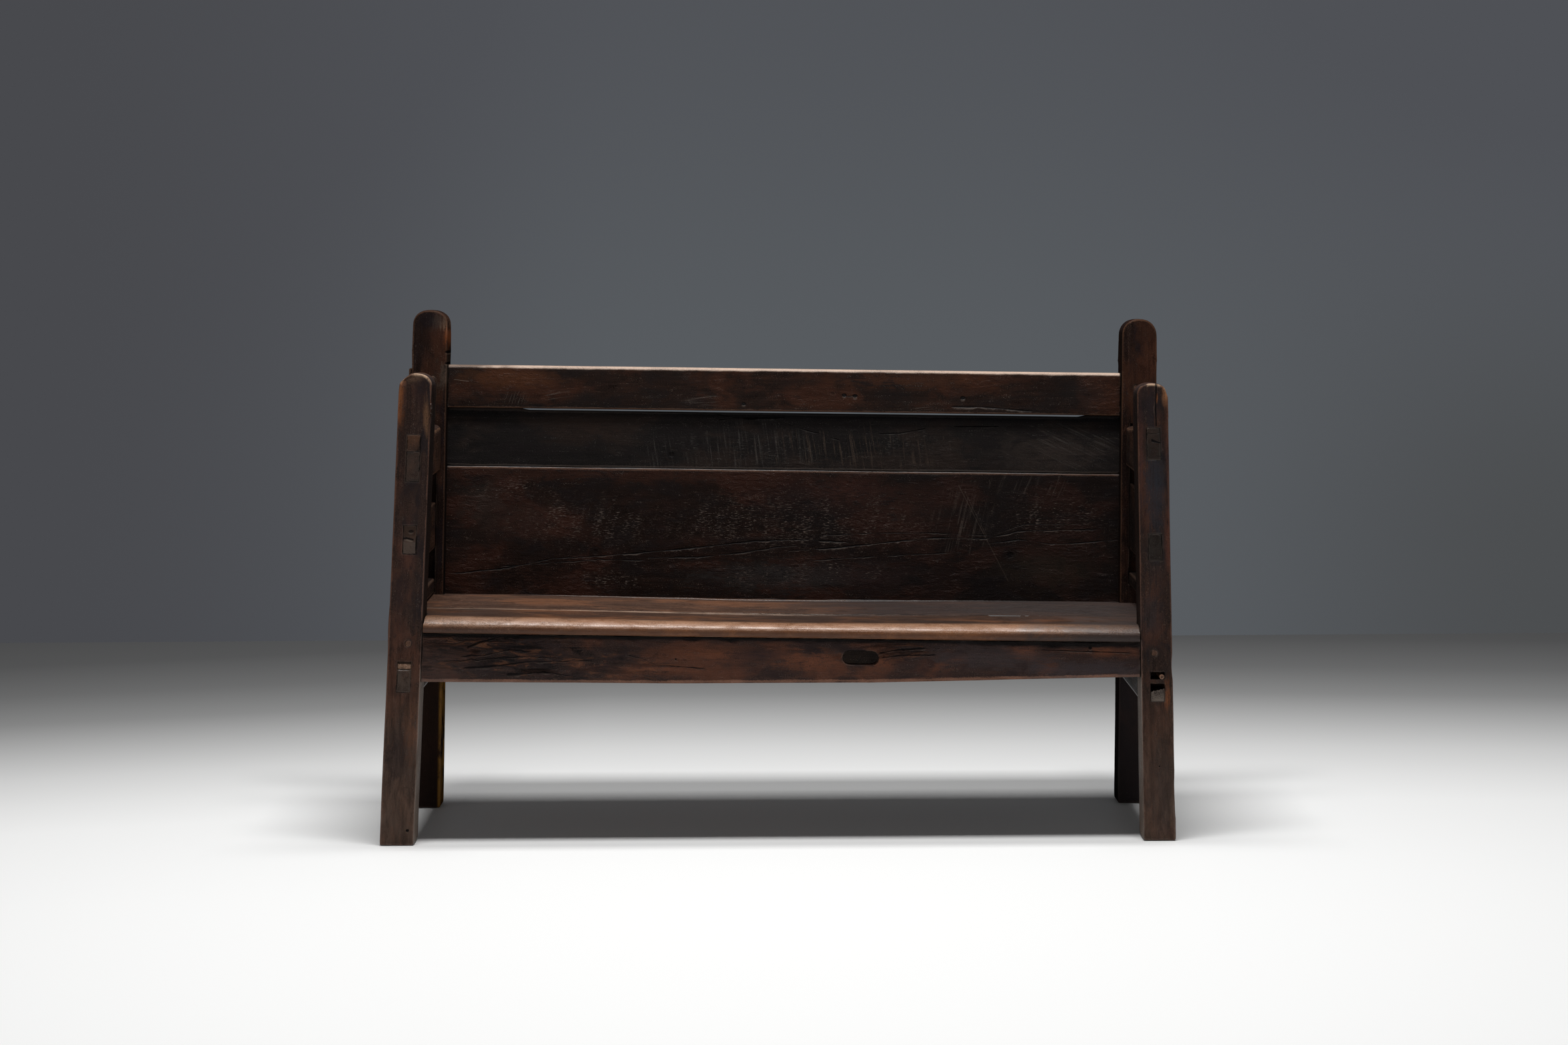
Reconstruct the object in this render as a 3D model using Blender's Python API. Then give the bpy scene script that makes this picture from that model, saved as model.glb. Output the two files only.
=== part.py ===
# A long, worn village bench: four posts, through-tenoned side rails, a boarded back and a thick
# plank seat. Metres, +Z up, front of the bench towards -Y, the viewer's left is -X.
#
# Every piece is first cut square, in its own bench frame: a runs across, b runs back from the
# front posts' faces, c runs up. At the end settle() gives the finished joinery the stance of the
# real bench, which splays at the front, rakes at the back and leans to its right, so the joints
# stay as closed as they were cut. The feet are then sawn off level with the floor.

import math

import bmesh
import bpy
from mathutils import Vector

FIT = 0.0003               # clearance between a piece and what it seats on or in

# Stance
LEAN_DEGREES = 1.0885          # sideways lean of the whole frame
FRONT_SPLAY_DEGREES = 2.2449   # each front post's outward splay
REAR_SPLAY_DEGREES = 0.2979    # each rear post's outward splay
REAR_RAKE_DEGREES = 3.5020     # backward slope of the rear posts

# Plan
CLEAR_WIDTH = 1.4790       # between the inner faces of a pair of posts
CLEAR_DEPTH = 0.3680       # between the front posts' backs and the rear posts' faces
FRONT_POST_DEPTH = 0.0700
FRONT_POST_WIDTH_LEFT = 0.0710
FRONT_POST_WIDTH_RIGHT = 0.0670
REAR_POST_DEPTH = 0.0730
REAR_POST_WIDTH = 0.0780
POST_EDGE = 0.0040         # worn arris on the posts
FRONT_POST_CROWN_LEFT = 0.0310    # how far down each post's top is rounded over
FRONT_POST_CROWN_RIGHT = 0.0270
REAR_POST_CROWN_LEFT = 0.0340
REAR_POST_CROWN_RIGHT = 0.0380

# Seat
SEAT_HEIGHT = 0.4520
SEAT_THICKNESS = 0.0330
FRONT_BOARD_WIDTH = 0.1840
NOSE_OVERHANG = 0.0050     # how far the nose stands out past the posts' front faces
NOSE_ROUND_DEPTH = 0.0400  # the nose's worn upper rounding starts this far back
NOSE_ROUND_DROP = 0.0220   # and falls this far
NOSE_UNDER_DEPTH = 0.0080  # the tighter rounding below it
SEAT_SIDE_OVERHANG = 0.0040

# Rails below the seat
APRON_THICKNESS = 0.0280
APRON_SETBACK = 0.0030
APRON_DROP_LEFT = 0.1000   # apron height at its left end
APRON_DROP_RIGHT = 0.0715  # apron height at its right end
APRON_BOW = 0.0080         # sag of its lower edge at the middle
APRON_TENON_DROP = 0.0070  # from the apron's top down to its tenon
APRON_TENON_HEIGHT = 0.0400
APRON_TENON_LENGTH = 0.0450
APRON_TENON_THICKNESS = 0.0140
SLOT_LENGTH = 0.0750
SLOT_HEIGHT = 0.0290
SLOT_OFFSET = 0.1630       # centre of the slot to the right of the bench's middle
SLOT_DROP = 0.0240         # from the apron's top down to the slot's top
REAR_RAIL_HEIGHT = 0.1180
REAR_RAIL_THICKNESS = 0.0320
SEAT_RAIL_HEIGHT = 0.1225
SEAT_RAIL_THICKNESS = 0.0500
SEAT_RAIL_INSET = 0.0015   # its inner face behind the posts' inner faces

# Side joints
TENON_THICKNESS = 0.0280
TENON_INSET = 0.0205       # from a post's inner face to the side tenons
SEAT_TENON_RISE = 0.0030   # from a seat rail's underside up to its tenon
SEAT_TENON_HEIGHT_LEFT = 0.0460
SEAT_TENON_HEIGHT_RIGHT = 0.0240
SEAT_TENON_VOID_LEFT = 0.0155   # open part of the mortise above the tenon
SEAT_TENON_VOID_RIGHT = 0.0120
SEAT_TENON_LENGTH = 0.0450      # blind length in the rear post
KEY_HOLE_GAP = 0.0095      # wood left between the right mortise and the key hole over it
KEY_HOLE_HEIGHT = 0.0145
KEY_DIAMETER = 0.0105
KEY_LENGTH = 0.0550
GROOVE_DEPTH = 0.0300      # long groove down the rear posts' front faces

# Side rails above the seat, each with its own height, gap below and tenon
LOW_RAIL_GAP_LEFT = 0.0035
LOW_RAIL_HEIGHT_LEFT = 0.0300
LOW_RAIL_GAP_RIGHT = 0.0400
LOW_RAIL_HEIGHT_RIGHT = 0.0265
LOW_RAIL_STUB = 0.0200     # blind stub in the front post
MID_RAIL_GAP_LEFT = 0.0665
MID_RAIL_HEIGHT_LEFT = 0.1000
MID_TENON_RISE_LEFT = 0.0265
MID_TENON_HEIGHT_LEFT = 0.0580
MID_RAIL_GAP_RIGHT = 0.0495
MID_RAIL_HEIGHT_RIGHT = 0.1450
MID_TENON_RISE_RIGHT = 0.0170
MID_TENON_HEIGHT_RIGHT = 0.0540
ARM_GAP_LEFT = 0.0700
ARM_HEIGHT_LEFT = 0.0995
ARM_TENON_RISE_LEFT = 0.0020
ARM_TENON_HEIGHT_LEFT = 0.0610
ARM_GAP_RIGHT = 0.0380
ARM_HEIGHT_RIGHT = 0.1055
ARM_TENON_RISE_RIGHT = 0.0375
ARM_TENON_HEIGHT_RIGHT = 0.0640
ARM_THICKNESS = 0.0460
ARM_CROWN = 0.0140         # rounding of the arm's top
WEDGE_HEIGHT = 0.0330      # wedge over the left arm's tenon, at its thick end
WEDGE_TAPER = 0.0070
WEDGE_LENGTH = 0.0560
SEAT_WEDGE_RECESS = 0.0035   # the wedge over the left seat rail's tenon ends short of the face
SEAT_WEDGE_TAPER = 0.0040
POST_ABOVE_ARM = 0.1210

# Back
BACK_BOARD_THICKNESS = 0.0220
BACK_BOARD_SETBACK = 0.0270    # board faces behind the rear posts' faces
BACK_BOARD_TONGUE = 0.0140     # how far the boards run into the posts
LOWER_BOARD_SHOW = 0.2785      # lower board above the seat
MIDDLE_BOARD_HEIGHT = 0.1240
BACK_GAP = 0.0035              # open gap under the top rail
TOP_RAIL_HEIGHT = 0.0930
TOP_RAIL_THICKNESS = 0.0400
TOP_RAIL_SETBACK = 0.0120
TOP_RAIL_ROUND = 0.0080        # rounding of its top edges
TOP_TENON_THICKNESS = 0.0180
TOP_TENON_HEIGHT = 0.0650
TOP_TENON_STUB = 0.0095        # the left tenon's end past the post's outer face
TOP_TENON_STUB_HEIGHT = 0.0190
POST_ABOVE_RAIL = 0.1190

# Pegs
APRON_PEG_DIAMETER = 0.0140
APRON_PEG_LENGTH = 0.0500
BACK_PEG_DIAMETER = 0.0100
BACK_PEG_LENGTH = 0.0480

SAW_ALLOWANCE = 0.0500     # how much longer the posts are than the floor needs, before sawing

# Slopes, levels and planes that follow from the sizes, the slopes in metres per metre
LEAN, FRONT_SPLAY, REAR_SPLAY, REAR_RAKE = (
    math.tan(math.radians(turn)) for turn in (LEAN_DEGREES, FRONT_SPLAY_DEGREES,
                                              REAR_SPLAY_DEGREES, REAR_RAKE_DEGREES))
INNER = CLEAR_WIDTH / 2
TENON_IN = INNER + TENON_INSET
TENON_OUT = TENON_IN + TENON_THICKNESS
REAR_FACE = FRONT_POST_DEPTH + CLEAR_DEPTH
REAR_BACK = REAR_FACE + REAR_POST_DEPTH
SEAT_UNDER = SEAT_HEIGHT - SEAT_THICKNESS
RAIL_TOP = SEAT_UNDER - FIT
SEAT_RAIL_IN = INNER + SEAT_RAIL_INSET
SEAT_RAIL_OUT = SEAT_RAIL_IN + SEAT_RAIL_THICKNESS
SEAT_RAIL_UNDER = RAIL_TOP - SEAT_RAIL_HEIGHT
BOARD_FACE = REAR_FACE + BACK_BOARD_SETBACK
BOARD_BACK = BOARD_FACE + BACK_BOARD_THICKNESS
LOWER_BOARD_TOP = SEAT_HEIGHT + LOWER_BOARD_SHOW
MIDDLE_BOARD_TOP = LOWER_BOARD_TOP + FIT + MIDDLE_BOARD_HEIGHT
TOP_RAIL_UNDER = MIDDLE_BOARD_TOP + BACK_GAP
TOP_RAIL_TOP = TOP_RAIL_UNDER + TOP_RAIL_HEIGHT
TOP_RAIL_FACE = REAR_FACE + TOP_RAIL_SETBACK
REAR_POST_TOP = TOP_RAIL_TOP + POST_ABOVE_RAIL
APRON_TENON_TOP = RAIL_TOP - APRON_TENON_DROP
APRON_PEG_LEVEL = APRON_TENON_TOP - 0.35 * APRON_TENON_HEIGHT
APRON_TENON_FACE = APRON_SETBACK + (APRON_THICKNESS - APRON_TENON_THICKNESS) / 2

# Per side: sign of a, then the levels of the rails above the seat
SIDES = {
    "left": dict(sign=-1, post_width=FRONT_POST_WIDTH_LEFT,
                 front_crown=FRONT_POST_CROWN_LEFT, rear_crown=REAR_POST_CROWN_LEFT,
                 low_gap=LOW_RAIL_GAP_LEFT, low_height=LOW_RAIL_HEIGHT_LEFT,
                 mid_gap=MID_RAIL_GAP_LEFT, mid_height=MID_RAIL_HEIGHT_LEFT,
                 mid_rise=MID_TENON_RISE_LEFT, mid_tenon=MID_TENON_HEIGHT_LEFT,
                 arm_gap=ARM_GAP_LEFT, arm_height=ARM_HEIGHT_LEFT,
                 arm_rise=ARM_TENON_RISE_LEFT, arm_tenon=ARM_TENON_HEIGHT_LEFT,
                 seat_tenon=SEAT_TENON_HEIGHT_LEFT, seat_void=SEAT_TENON_VOID_LEFT),
    "right": dict(sign=1, post_width=FRONT_POST_WIDTH_RIGHT,
                  front_crown=FRONT_POST_CROWN_RIGHT, rear_crown=REAR_POST_CROWN_RIGHT,
                  low_gap=LOW_RAIL_GAP_RIGHT, low_height=LOW_RAIL_HEIGHT_RIGHT,
                  mid_gap=MID_RAIL_GAP_RIGHT, mid_height=MID_RAIL_HEIGHT_RIGHT,
                  mid_rise=MID_TENON_RISE_RIGHT, mid_tenon=MID_TENON_HEIGHT_RIGHT,
                  arm_gap=ARM_GAP_RIGHT, arm_height=ARM_HEIGHT_RIGHT,
                  arm_rise=ARM_TENON_RISE_RIGHT, arm_tenon=ARM_TENON_HEIGHT_RIGHT,
                  seat_tenon=SEAT_TENON_HEIGHT_RIGHT, seat_void=SEAT_TENON_VOID_RIGHT),
}
for side in SIDES.values():
    side["low_under"] = SEAT_HEIGHT + side["low_gap"]
    side["low_top"] = side["low_under"] + side["low_height"]
    side["mid_under"] = side["low_top"] + side["mid_gap"]
    side["mid_top"] = side["mid_under"] + side["mid_height"]
    side["arm_under"] = side["mid_top"] + side["arm_gap"]
    side["arm_top"] = side["arm_under"] + side["arm_height"]
ARM_LEVEL = max(side["arm_top"] for side in SIDES.values())
FRONT_POST_TOP = min(side["arm_top"] for side in SIDES.values()) + POST_ABOVE_ARM


def linear(red, green, blue):
    # screen colour, 0 to 255, as the linear value a shader wants
    return tuple(((v / 255 + 0.055) / 1.055) ** 2.4 for v in (red, green, blue)) + (1.0,)


# Base colour and roughness of each kind of timber
FINISHES = {
    "front_post": (linear(78, 57, 47), 0.55),
    "rear_post": (linear(60, 44, 38), 0.58),
    "arm_rail": (linear(58, 42, 36), 0.55),
    "side_rail": (linear(50, 38, 33), 0.62),
    "back_top_rail": (linear(72, 51, 42), 0.42),
    "back_middle_board": (linear(38, 34, 33), 0.60),
    "back_lower_board": (linear(46, 33, 28), 0.52),
    "apron": (linear(72, 52, 44), 0.60),
    "seat_front_board": (linear(112, 86, 72), 0.36),
    "seat_rear_board": (linear(94, 74, 64), 0.48),
    "hidden_rail": (linear(62, 48, 41), 0.70),
    "peg": (linear(98, 78, 66), 0.65),
    "wedge": (linear(70, 52, 44), 0.65),
}


def finish(obj, kind):
    colour, roughness = FINISHES[kind]
    material = bpy.data.materials.new(obj.name + "_wood")
    material.use_nodes = True
    shader = material.node_tree.nodes["Principled BSDF"]
    shader.inputs["Base Color"].default_value = colour
    shader.inputs["Roughness"].default_value = roughness
    shader.inputs["Metallic"].default_value = 0.0
    material.diffuse_color = colour
    obj.data.materials.clear()
    obj.data.materials.append(material)


def as_object(name, mesh_data):
    mesh = bpy.data.meshes.new(name)
    mesh_data.to_mesh(mesh)
    mesh_data.free()
    obj = bpy.data.objects.new(name, mesh)
    bpy.context.scene.collection.objects.link(obj)
    return obj


def prism(name, outline, along, low, high, edge=0.0, steps=1, all_edges=False):
    """Extrudes a closed outline. along is the axis it runs on (0, 1 or 2); the outline's points
    give the other two coordinates in order. edge rounds the long arrises, or all of them."""
    others = [axis for axis in range(3) if axis != along]
    work = bmesh.new()
    start = []
    for first, second in outline:
        place = [0.0, 0.0, 0.0]
        place[others[0]], place[others[1]], place[along] = first, second, low
        start.append(work.verts.new(place))
    cap = work.faces.new(start)
    grown = bmesh.ops.extrude_face_region(work, geom=[cap])
    shift = [0.0, 0.0, 0.0]
    shift[along] = high - low
    bmesh.ops.translate(work, vec=Vector(shift),
                        verts=[v for v in grown["geom"] if isinstance(v, bmesh.types.BMVert)])
    bmesh.ops.recalc_face_normals(work, faces=work.faces)
    if edge > 0:
        chosen = []
        for line in work.edges:
            run = (line.verts[1].co - line.verts[0].co).normalized()
            sharp = line.calc_face_angle(0.0) > math.radians(40)
            if sharp and (all_edges or abs(run[along]) > 0.99):
                chosen.append(line)
        bmesh.ops.bevel(work, geom=chosen, offset=edge, segments=steps, profile=0.5,
                        affect="EDGES", clamp_overlap=True)
    return as_object(name, work)


def block(name, a, b, c, edge=0.0, steps=1, along=0, all_edges=False):
    """A squared timber between two values on each axis, its grain along one of them."""
    spans = [tuple(sorted(span)) for span in (a, b, c)]
    others = [axis for axis in range(3) if axis != along]
    (u0, u1), (v0, v1) = spans[others[0]], spans[others[1]]
    outline = [(u0, v0), (u1, v0), (u1, v1), (u0, v1)]
    return prism(name, outline, along, spans[along][0], spans[along][1], edge, steps, all_edges)


def dowel(name, centre, diameter, low, high, sides=16):
    """A round peg that runs front to back; centre is (a, c)."""
    radius = diameter / 2
    ring = [(centre[0] + radius * math.cos(2 * math.pi * k / sides),
             centre[1] + radius * math.sin(2 * math.pi * k / sides)) for k in range(sides)]
    return prism(name, ring, 1, low, high)


def combine(piece, tool, operation):
    change = piece.modifiers.new("joint", "BOOLEAN")
    change.operation = operation
    change.solver = "EXACT"
    change.object = tool
    bpy.context.view_layer.update()
    graph = bpy.context.evaluated_depsgraph_get()
    made = bpy.data.meshes.new_from_object(piece.evaluated_get(graph), depsgraph=graph)
    piece.modifiers.clear()
    old = piece.data
    piece.data = made
    bpy.data.meshes.remove(old)
    spent = tool.data
    bpy.data.objects.remove(tool)
    bpy.data.meshes.remove(spent)
    return piece


def cut(piece, tool):
    return combine(piece, tool, "DIFFERENCE")


def join(piece, tool):
    return combine(piece, tool, "UNION")


def mortise(piece, a, b, c):
    """Cuts a square hole for a tenon with these spans, with the fit all round it."""
    grown = [(min(span) - FIT, max(span) + FIT) for span in (a, b, c)]
    return cut(piece, block("mortise", *grown))


def crowned(low_u, high_u, low_v, high_v, crown, steps=10, fullness=0.75):
    """A rectangle whose top is rounded over by crown, as points (u, v). Below a fullness of 1,
    which is an ellipse, its shoulders are fuller."""
    middle, half = (low_u + high_u) / 2, (high_u - low_u) / 2
    points = [(low_u, low_v), (high_u, low_v)]
    for k in range(steps + 1):
        turn = math.pi * k / steps
        u = math.copysign(abs(math.cos(turn)) ** fullness, math.cos(turn))
        v = abs(math.sin(turn)) ** fullness
        points.append((middle + half * u, high_v - crown + crown * v))
    return points


def mirrored(sign, low, high):
    """The span from low to high outwards on the side with this sign."""
    return (sign * low, sign * high)


def front_post(side_name):
    side = SIDES[side_name]
    sign, width = side["sign"], side["post_width"]
    a = sorted(mirrored(sign, INNER, INNER + width))
    post = prism("front_post_" + side_name,
                 crowned(a[0], a[1], -SAW_ALLOWANCE, FRONT_POST_TOP, side["front_crown"],
                         steps=16, fullness=0.88),
                 1, 0.0, FRONT_POST_DEPTH)
    soften_upright(post, POST_EDGE)
    through = (-0.02, FRONT_POST_DEPTH + 0.02)
    tenon = mirrored(sign, TENON_IN, TENON_OUT)
    # the three through mortises of the side rails
    arm = side["arm_under"] + side["arm_rise"]
    arm_top = arm + side["arm_tenon"] + (FIT + WEDGE_HEIGHT if side_name == "left" else 0.0)
    mortise(post, tenon, through, (arm, arm_top))
    mid = side["mid_under"] + side["mid_rise"]
    mortise(post, tenon, through, (mid, mid + side["mid_tenon"]))
    seat = SEAT_RAIL_UNDER + SEAT_TENON_RISE
    seat_top = seat + side["seat_tenon"] + side["seat_void"]
    mortise(post, tenon, through, (seat, seat_top))
    # blind seats of the low rail, the apron's tenon and its peg
    mortise(post, tenon, (FRONT_POST_DEPTH - LOW_RAIL_STUB, FRONT_POST_DEPTH + 0.02),
            (side["low_under"], side["low_top"]))
    mortise(post, mirrored(sign, INNER - 0.02, INNER + APRON_TENON_LENGTH),
            (APRON_TENON_FACE, APRON_TENON_FACE + APRON_TENON_THICKNESS),
            (APRON_TENON_TOP - APRON_TENON_HEIGHT, APRON_TENON_TOP))
    cut(post, dowel("peg_hole", apron_peg_centre(sign), APRON_PEG_DIAMETER + 2 * FIT,
                    -0.02, APRON_PEG_LENGTH + FIT))
    if side_name == "right":
        hole = seat_top + KEY_HOLE_GAP
        mortise(post, tenon, (-0.02, KEY_LENGTH), (hole, hole + KEY_HOLE_HEIGHT))
    finish(post, "front_post")
    return post


def soften_upright(post, edge):
    """Rounds a post's four upright arrises and the rim of its top, before any joint is cut."""
    work = bmesh.new()
    work.from_mesh(post.data)
    low = min(v.co.z for v in work.verts)
    chosen = []
    for line in work.edges:
        run = (line.verts[1].co - line.verts[0].co).normalized()
        rim = abs(run.y) < 0.01 and min(v.co.z for v in line.verts) > low + 0.001
        if rim and line.calc_face_angle(0.0) > math.radians(40):
            chosen.append(line)
    bmesh.ops.bevel(work, geom=chosen, offset=edge, segments=2, profile=0.5,
                    affect="EDGES", clamp_overlap=True)
    work.to_mesh(post.data)
    work.free()


def apron_peg_centre(sign):
    return (sign * (INNER + 0.5 * APRON_TENON_LENGTH + 0.006), APRON_PEG_LEVEL)


def back_peg_centre(sign):
    return (sign * (INNER + 0.40 * REAR_POST_WIDTH), TOP_RAIL_TOP - 0.45 * TOP_TENON_HEIGHT)


def rear_post(side_name):
    side = SIDES[side_name]
    sign = side["sign"]
    outer = INNER + REAR_POST_WIDTH
    a = sorted(mirrored(sign, INNER, outer))
    post = prism("rear_post_" + side_name,
                 crowned(a[0], a[1], -SAW_ALLOWANCE, REAR_POST_TOP, side["rear_crown"],
                         steps=16, fullness=0.88),
                 1, REAR_FACE, REAR_BACK)
    soften_upright(post, POST_EDGE)
    tenon = mirrored(sign, TENON_IN, TENON_OUT)
    # one long groove takes the rear ends of the three rails above the seat
    mortise(post, tenon, (REAR_FACE - 0.02, REAR_FACE + GROOVE_DEPTH),
            (side["low_under"], side["arm_top"] - ARM_CROWN))
    seat = SEAT_RAIL_UNDER + SEAT_TENON_RISE
    mortise(post, tenon, (REAR_FACE - 0.02, REAR_FACE + SEAT_TENON_LENGTH),
            (seat, seat + side["seat_tenon"]))
    # grooves for the back boards, then the rails across the back
    mortise(post, mirrored(sign, INNER - 0.02, INNER + BACK_BOARD_TONGUE),
            (BOARD_FACE, BOARD_BACK), (SEAT_UNDER + FIT, MIDDLE_BOARD_TOP))
    mortise(post, mirrored(sign, INNER - 0.02, INNER + APRON_TENON_LENGTH),
            (rear_tenon_face(), rear_tenon_face() + APRON_TENON_THICKNESS),
            (APRON_TENON_TOP - APRON_TENON_HEIGHT, APRON_TENON_TOP))
    mortise(post, mirrored(sign, INNER - 0.02, outer + 0.02),
            (top_tenon_face(), top_tenon_face() + TOP_TENON_THICKNESS),
            (TOP_RAIL_TOP - TOP_RAIL_ROUND - TOP_TENON_HEIGHT, TOP_RAIL_TOP - TOP_RAIL_ROUND))
    cut(post, dowel("peg_hole", back_peg_centre(sign), BACK_PEG_DIAMETER + 2 * FIT,
                    REAR_FACE - 0.02, REAR_FACE + BACK_PEG_LENGTH + FIT))
    finish(post, "rear_post")
    return post


def rear_tenon_face():
    return BOARD_FACE - 0.010 + (REAR_RAIL_THICKNESS - APRON_TENON_THICKNESS) / 2


def top_tenon_face():
    return TOP_RAIL_FACE + (TOP_RAIL_THICKNESS - TOP_TENON_THICKNESS) / 2


def arm_rail(side_name):
    side = SIDES[side_name]
    sign = side["sign"]
    middle = (TENON_IN + TENON_OUT) / 2
    a = sorted(mirrored(sign, middle - ARM_THICKNESS / 2, middle + ARM_THICKNESS / 2))
    rail = prism("arm_rail_" + side_name,
                 crowned(a[0], a[1], side["arm_under"], side["arm_top"], ARM_CROWN),
                 1, FRONT_POST_DEPTH + FIT, REAR_FACE - FIT, edge=0.002)
    tenon = mirrored(sign, TENON_IN, TENON_OUT)
    under = side["arm_under"] + side["arm_rise"]
    join(rail, block("tenon", tenon, (0.0, FRONT_POST_DEPTH + 0.01),
                     (under, under + side["arm_tenon"])))
    join(rail, block("tongue", tenon, (REAR_FACE - 0.01, REAR_FACE + GROOVE_DEPTH - FIT),
                     (side["arm_under"] + 0.002, side["arm_top"] - ARM_CROWN - 0.001)))
    finish(rail, "arm_rail")
    return rail


def mid_rail(side_name):
    side = SIDES[side_name]
    tenon = mirrored(side["sign"], TENON_IN, TENON_OUT)
    rail = block("mid_side_rail_" + side_name, tenon,
                 (FRONT_POST_DEPTH + FIT, REAR_FACE + GROOVE_DEPTH - FIT),
                 (side["mid_under"], side["mid_top"]), edge=0.0015, along=1)
    under = side["mid_under"] + side["mid_rise"]
    join(rail, block("tenon", tenon, (0.0, FRONT_POST_DEPTH + 0.01),
                     (under, under + side["mid_tenon"])))
    finish(rail, "side_rail")
    return rail


def low_rail(side_name):
    side = SIDES[side_name]
    rail = block("low_side_rail_" + side_name, mirrored(side["sign"], TENON_IN, TENON_OUT),
                 (FRONT_POST_DEPTH - LOW_RAIL_STUB, REAR_FACE + GROOVE_DEPTH - FIT),
                 (side["low_under"], side["low_top"]), edge=0.0015, along=1)
    finish(rail, "side_rail")
    return rail


def seat_rail(side_name):
    side = SIDES[side_name]
    sign = side["sign"]
    rail = block("seat_side_rail_" + side_name, mirrored(sign, SEAT_RAIL_IN, SEAT_RAIL_OUT),
                 (FRONT_POST_DEPTH + FIT, REAR_FACE - FIT), (SEAT_RAIL_UNDER, RAIL_TOP),
                 edge=0.002, along=1)
    tenon = mirrored(sign, TENON_IN, TENON_OUT)
    under = SEAT_RAIL_UNDER + SEAT_TENON_RISE
    levels = (under, under + side["seat_tenon"])
    join(rail, block("tenon", tenon, (0.0, FRONT_POST_DEPTH + 0.01), levels))
    join(rail, block("tenon", tenon, (REAR_FACE - 0.01, REAR_FACE + SEAT_TENON_LENGTH), levels))
    finish(rail, "side_rail")
    return rail


def apron():
    # straight top, lower edge running uphill to the right with a slight sag
    steps = 24
    outline = []
    for k in range(steps + 1):
        share = k / steps
        drop = APRON_DROP_LEFT + (APRON_DROP_RIGHT - APRON_DROP_LEFT) * share
        sag = APRON_BOW * math.sin(math.pi * share)
        outline.append((-INNER + FIT + (2 * INNER - 2 * FIT) * share, RAIL_TOP - drop - sag))
    outline += [(INNER - FIT, RAIL_TOP), (-INNER + FIT, RAIL_TOP)]
    board = prism("front_apron", outline, 1, APRON_SETBACK, APRON_SETBACK + APRON_THICKNESS)
    soften_lower_edge(board, 0.004)
    for sign in (-1, 1):
        join(board, block("tenon", mirrored(sign, INNER - 0.02, INNER + APRON_TENON_LENGTH),
                          (APRON_TENON_FACE, APRON_TENON_FACE + APRON_TENON_THICKNESS),
                          (APRON_TENON_TOP - APRON_TENON_HEIGHT, APRON_TENON_TOP)))
        cut(board, dowel("peg_hole", apron_peg_centre(sign), APRON_PEG_DIAMETER + 2 * FIT,
                         -0.02, APRON_PEG_LENGTH + 0.02))
    # the oblong slot, with round ends and a nick at its left end
    radius = SLOT_HEIGHT / 2
    level = RAIL_TOP - SLOT_DROP - radius
    ring = []
    for end, turn in ((1, -90), (-1, 90)):
        for k in range(7):
            angle = math.radians(turn + 30 * k)
            ring.append((SLOT_OFFSET + end * (SLOT_LENGTH / 2 - radius)
                         + radius * math.cos(angle), level + radius * math.sin(angle)))
    cut(board, prism("slot", ring, 1, APRON_SETBACK - 0.02, APRON_SETBACK + APRON_THICKNESS + 0.02))
    finish(board, "apron")
    return board


def soften_lower_edge(board, edge):
    work = bmesh.new()
    work.from_mesh(board.data)
    front = min(v.co.y for v in work.verts)
    top = max(v.co.z for v in work.verts)
    chosen = [line for line in work.edges
              if all(v.co.y < front + 1e-5 and v.co.z < top - 1e-4 for v in line.verts)
              and abs((line.verts[1].co - line.verts[0].co).normalized().x) > 0.9]
    bmesh.ops.bevel(work, geom=chosen, offset=edge, segments=2, profile=0.5, affect="EDGES",
                    clamp_overlap=True)
    work.to_mesh(board.data)
    work.free()


def rear_seat_rail():
    face = BOARD_FACE - 0.010
    rail = block("rear_seat_rail", (-INNER + FIT, INNER - FIT), (face, face + REAR_RAIL_THICKNESS),
                 (RAIL_TOP - REAR_RAIL_HEIGHT, RAIL_TOP), edge=0.002, along=0)
    for sign in (-1, 1):
        join(rail, block("tenon", mirrored(sign, INNER - 0.02, INNER + APRON_TENON_LENGTH),
                         (rear_tenon_face(), rear_tenon_face() + APRON_TENON_THICKNESS),
                         (APRON_TENON_TOP - APRON_TENON_HEIGHT, APRON_TENON_TOP)))
    finish(rail, "hidden_rail")
    return rail


def seat_front_board():
    """The front plank, drawn in section: worn round at the front, square at the joint."""
    half = SEAT_RAIL_OUT + SEAT_SIDE_OVERHANG
    back = -NOSE_OVERHANG + FRONT_BOARD_WIDTH
    section = [(back, SEAT_UNDER), (back, SEAT_HEIGHT)]
    for k in range(9):
        turn = math.radians(90 + 90 * k / 8)
        section.append((-NOSE_OVERHANG + NOSE_ROUND_DEPTH * (1 + math.cos(turn)),
                        SEAT_HEIGHT - NOSE_ROUND_DROP * (1 - math.sin(turn))))
    under = SEAT_THICKNESS - NOSE_ROUND_DROP
    for k in range(1, 6):
        turn = math.radians(180 + 90 * k / 5)
        section.append((-NOSE_OVERHANG + NOSE_UNDER_DEPTH * (1 + math.cos(turn)),
                        SEAT_UNDER + under * (1 + math.sin(turn))))
    board = prism("seat_front_board", section, 0, -half, half)
    for side in SIDES.values():
        cut(board, block("notch", mirrored(side["sign"], INNER - FIT, half + 0.02),
                         (-NOSE_OVERHANG - 0.02, FRONT_POST_DEPTH + FIT),
                         (SEAT_UNDER - 0.02, SEAT_HEIGHT + 0.02)))
    finish(board, "seat_front_board")
    return board


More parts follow.
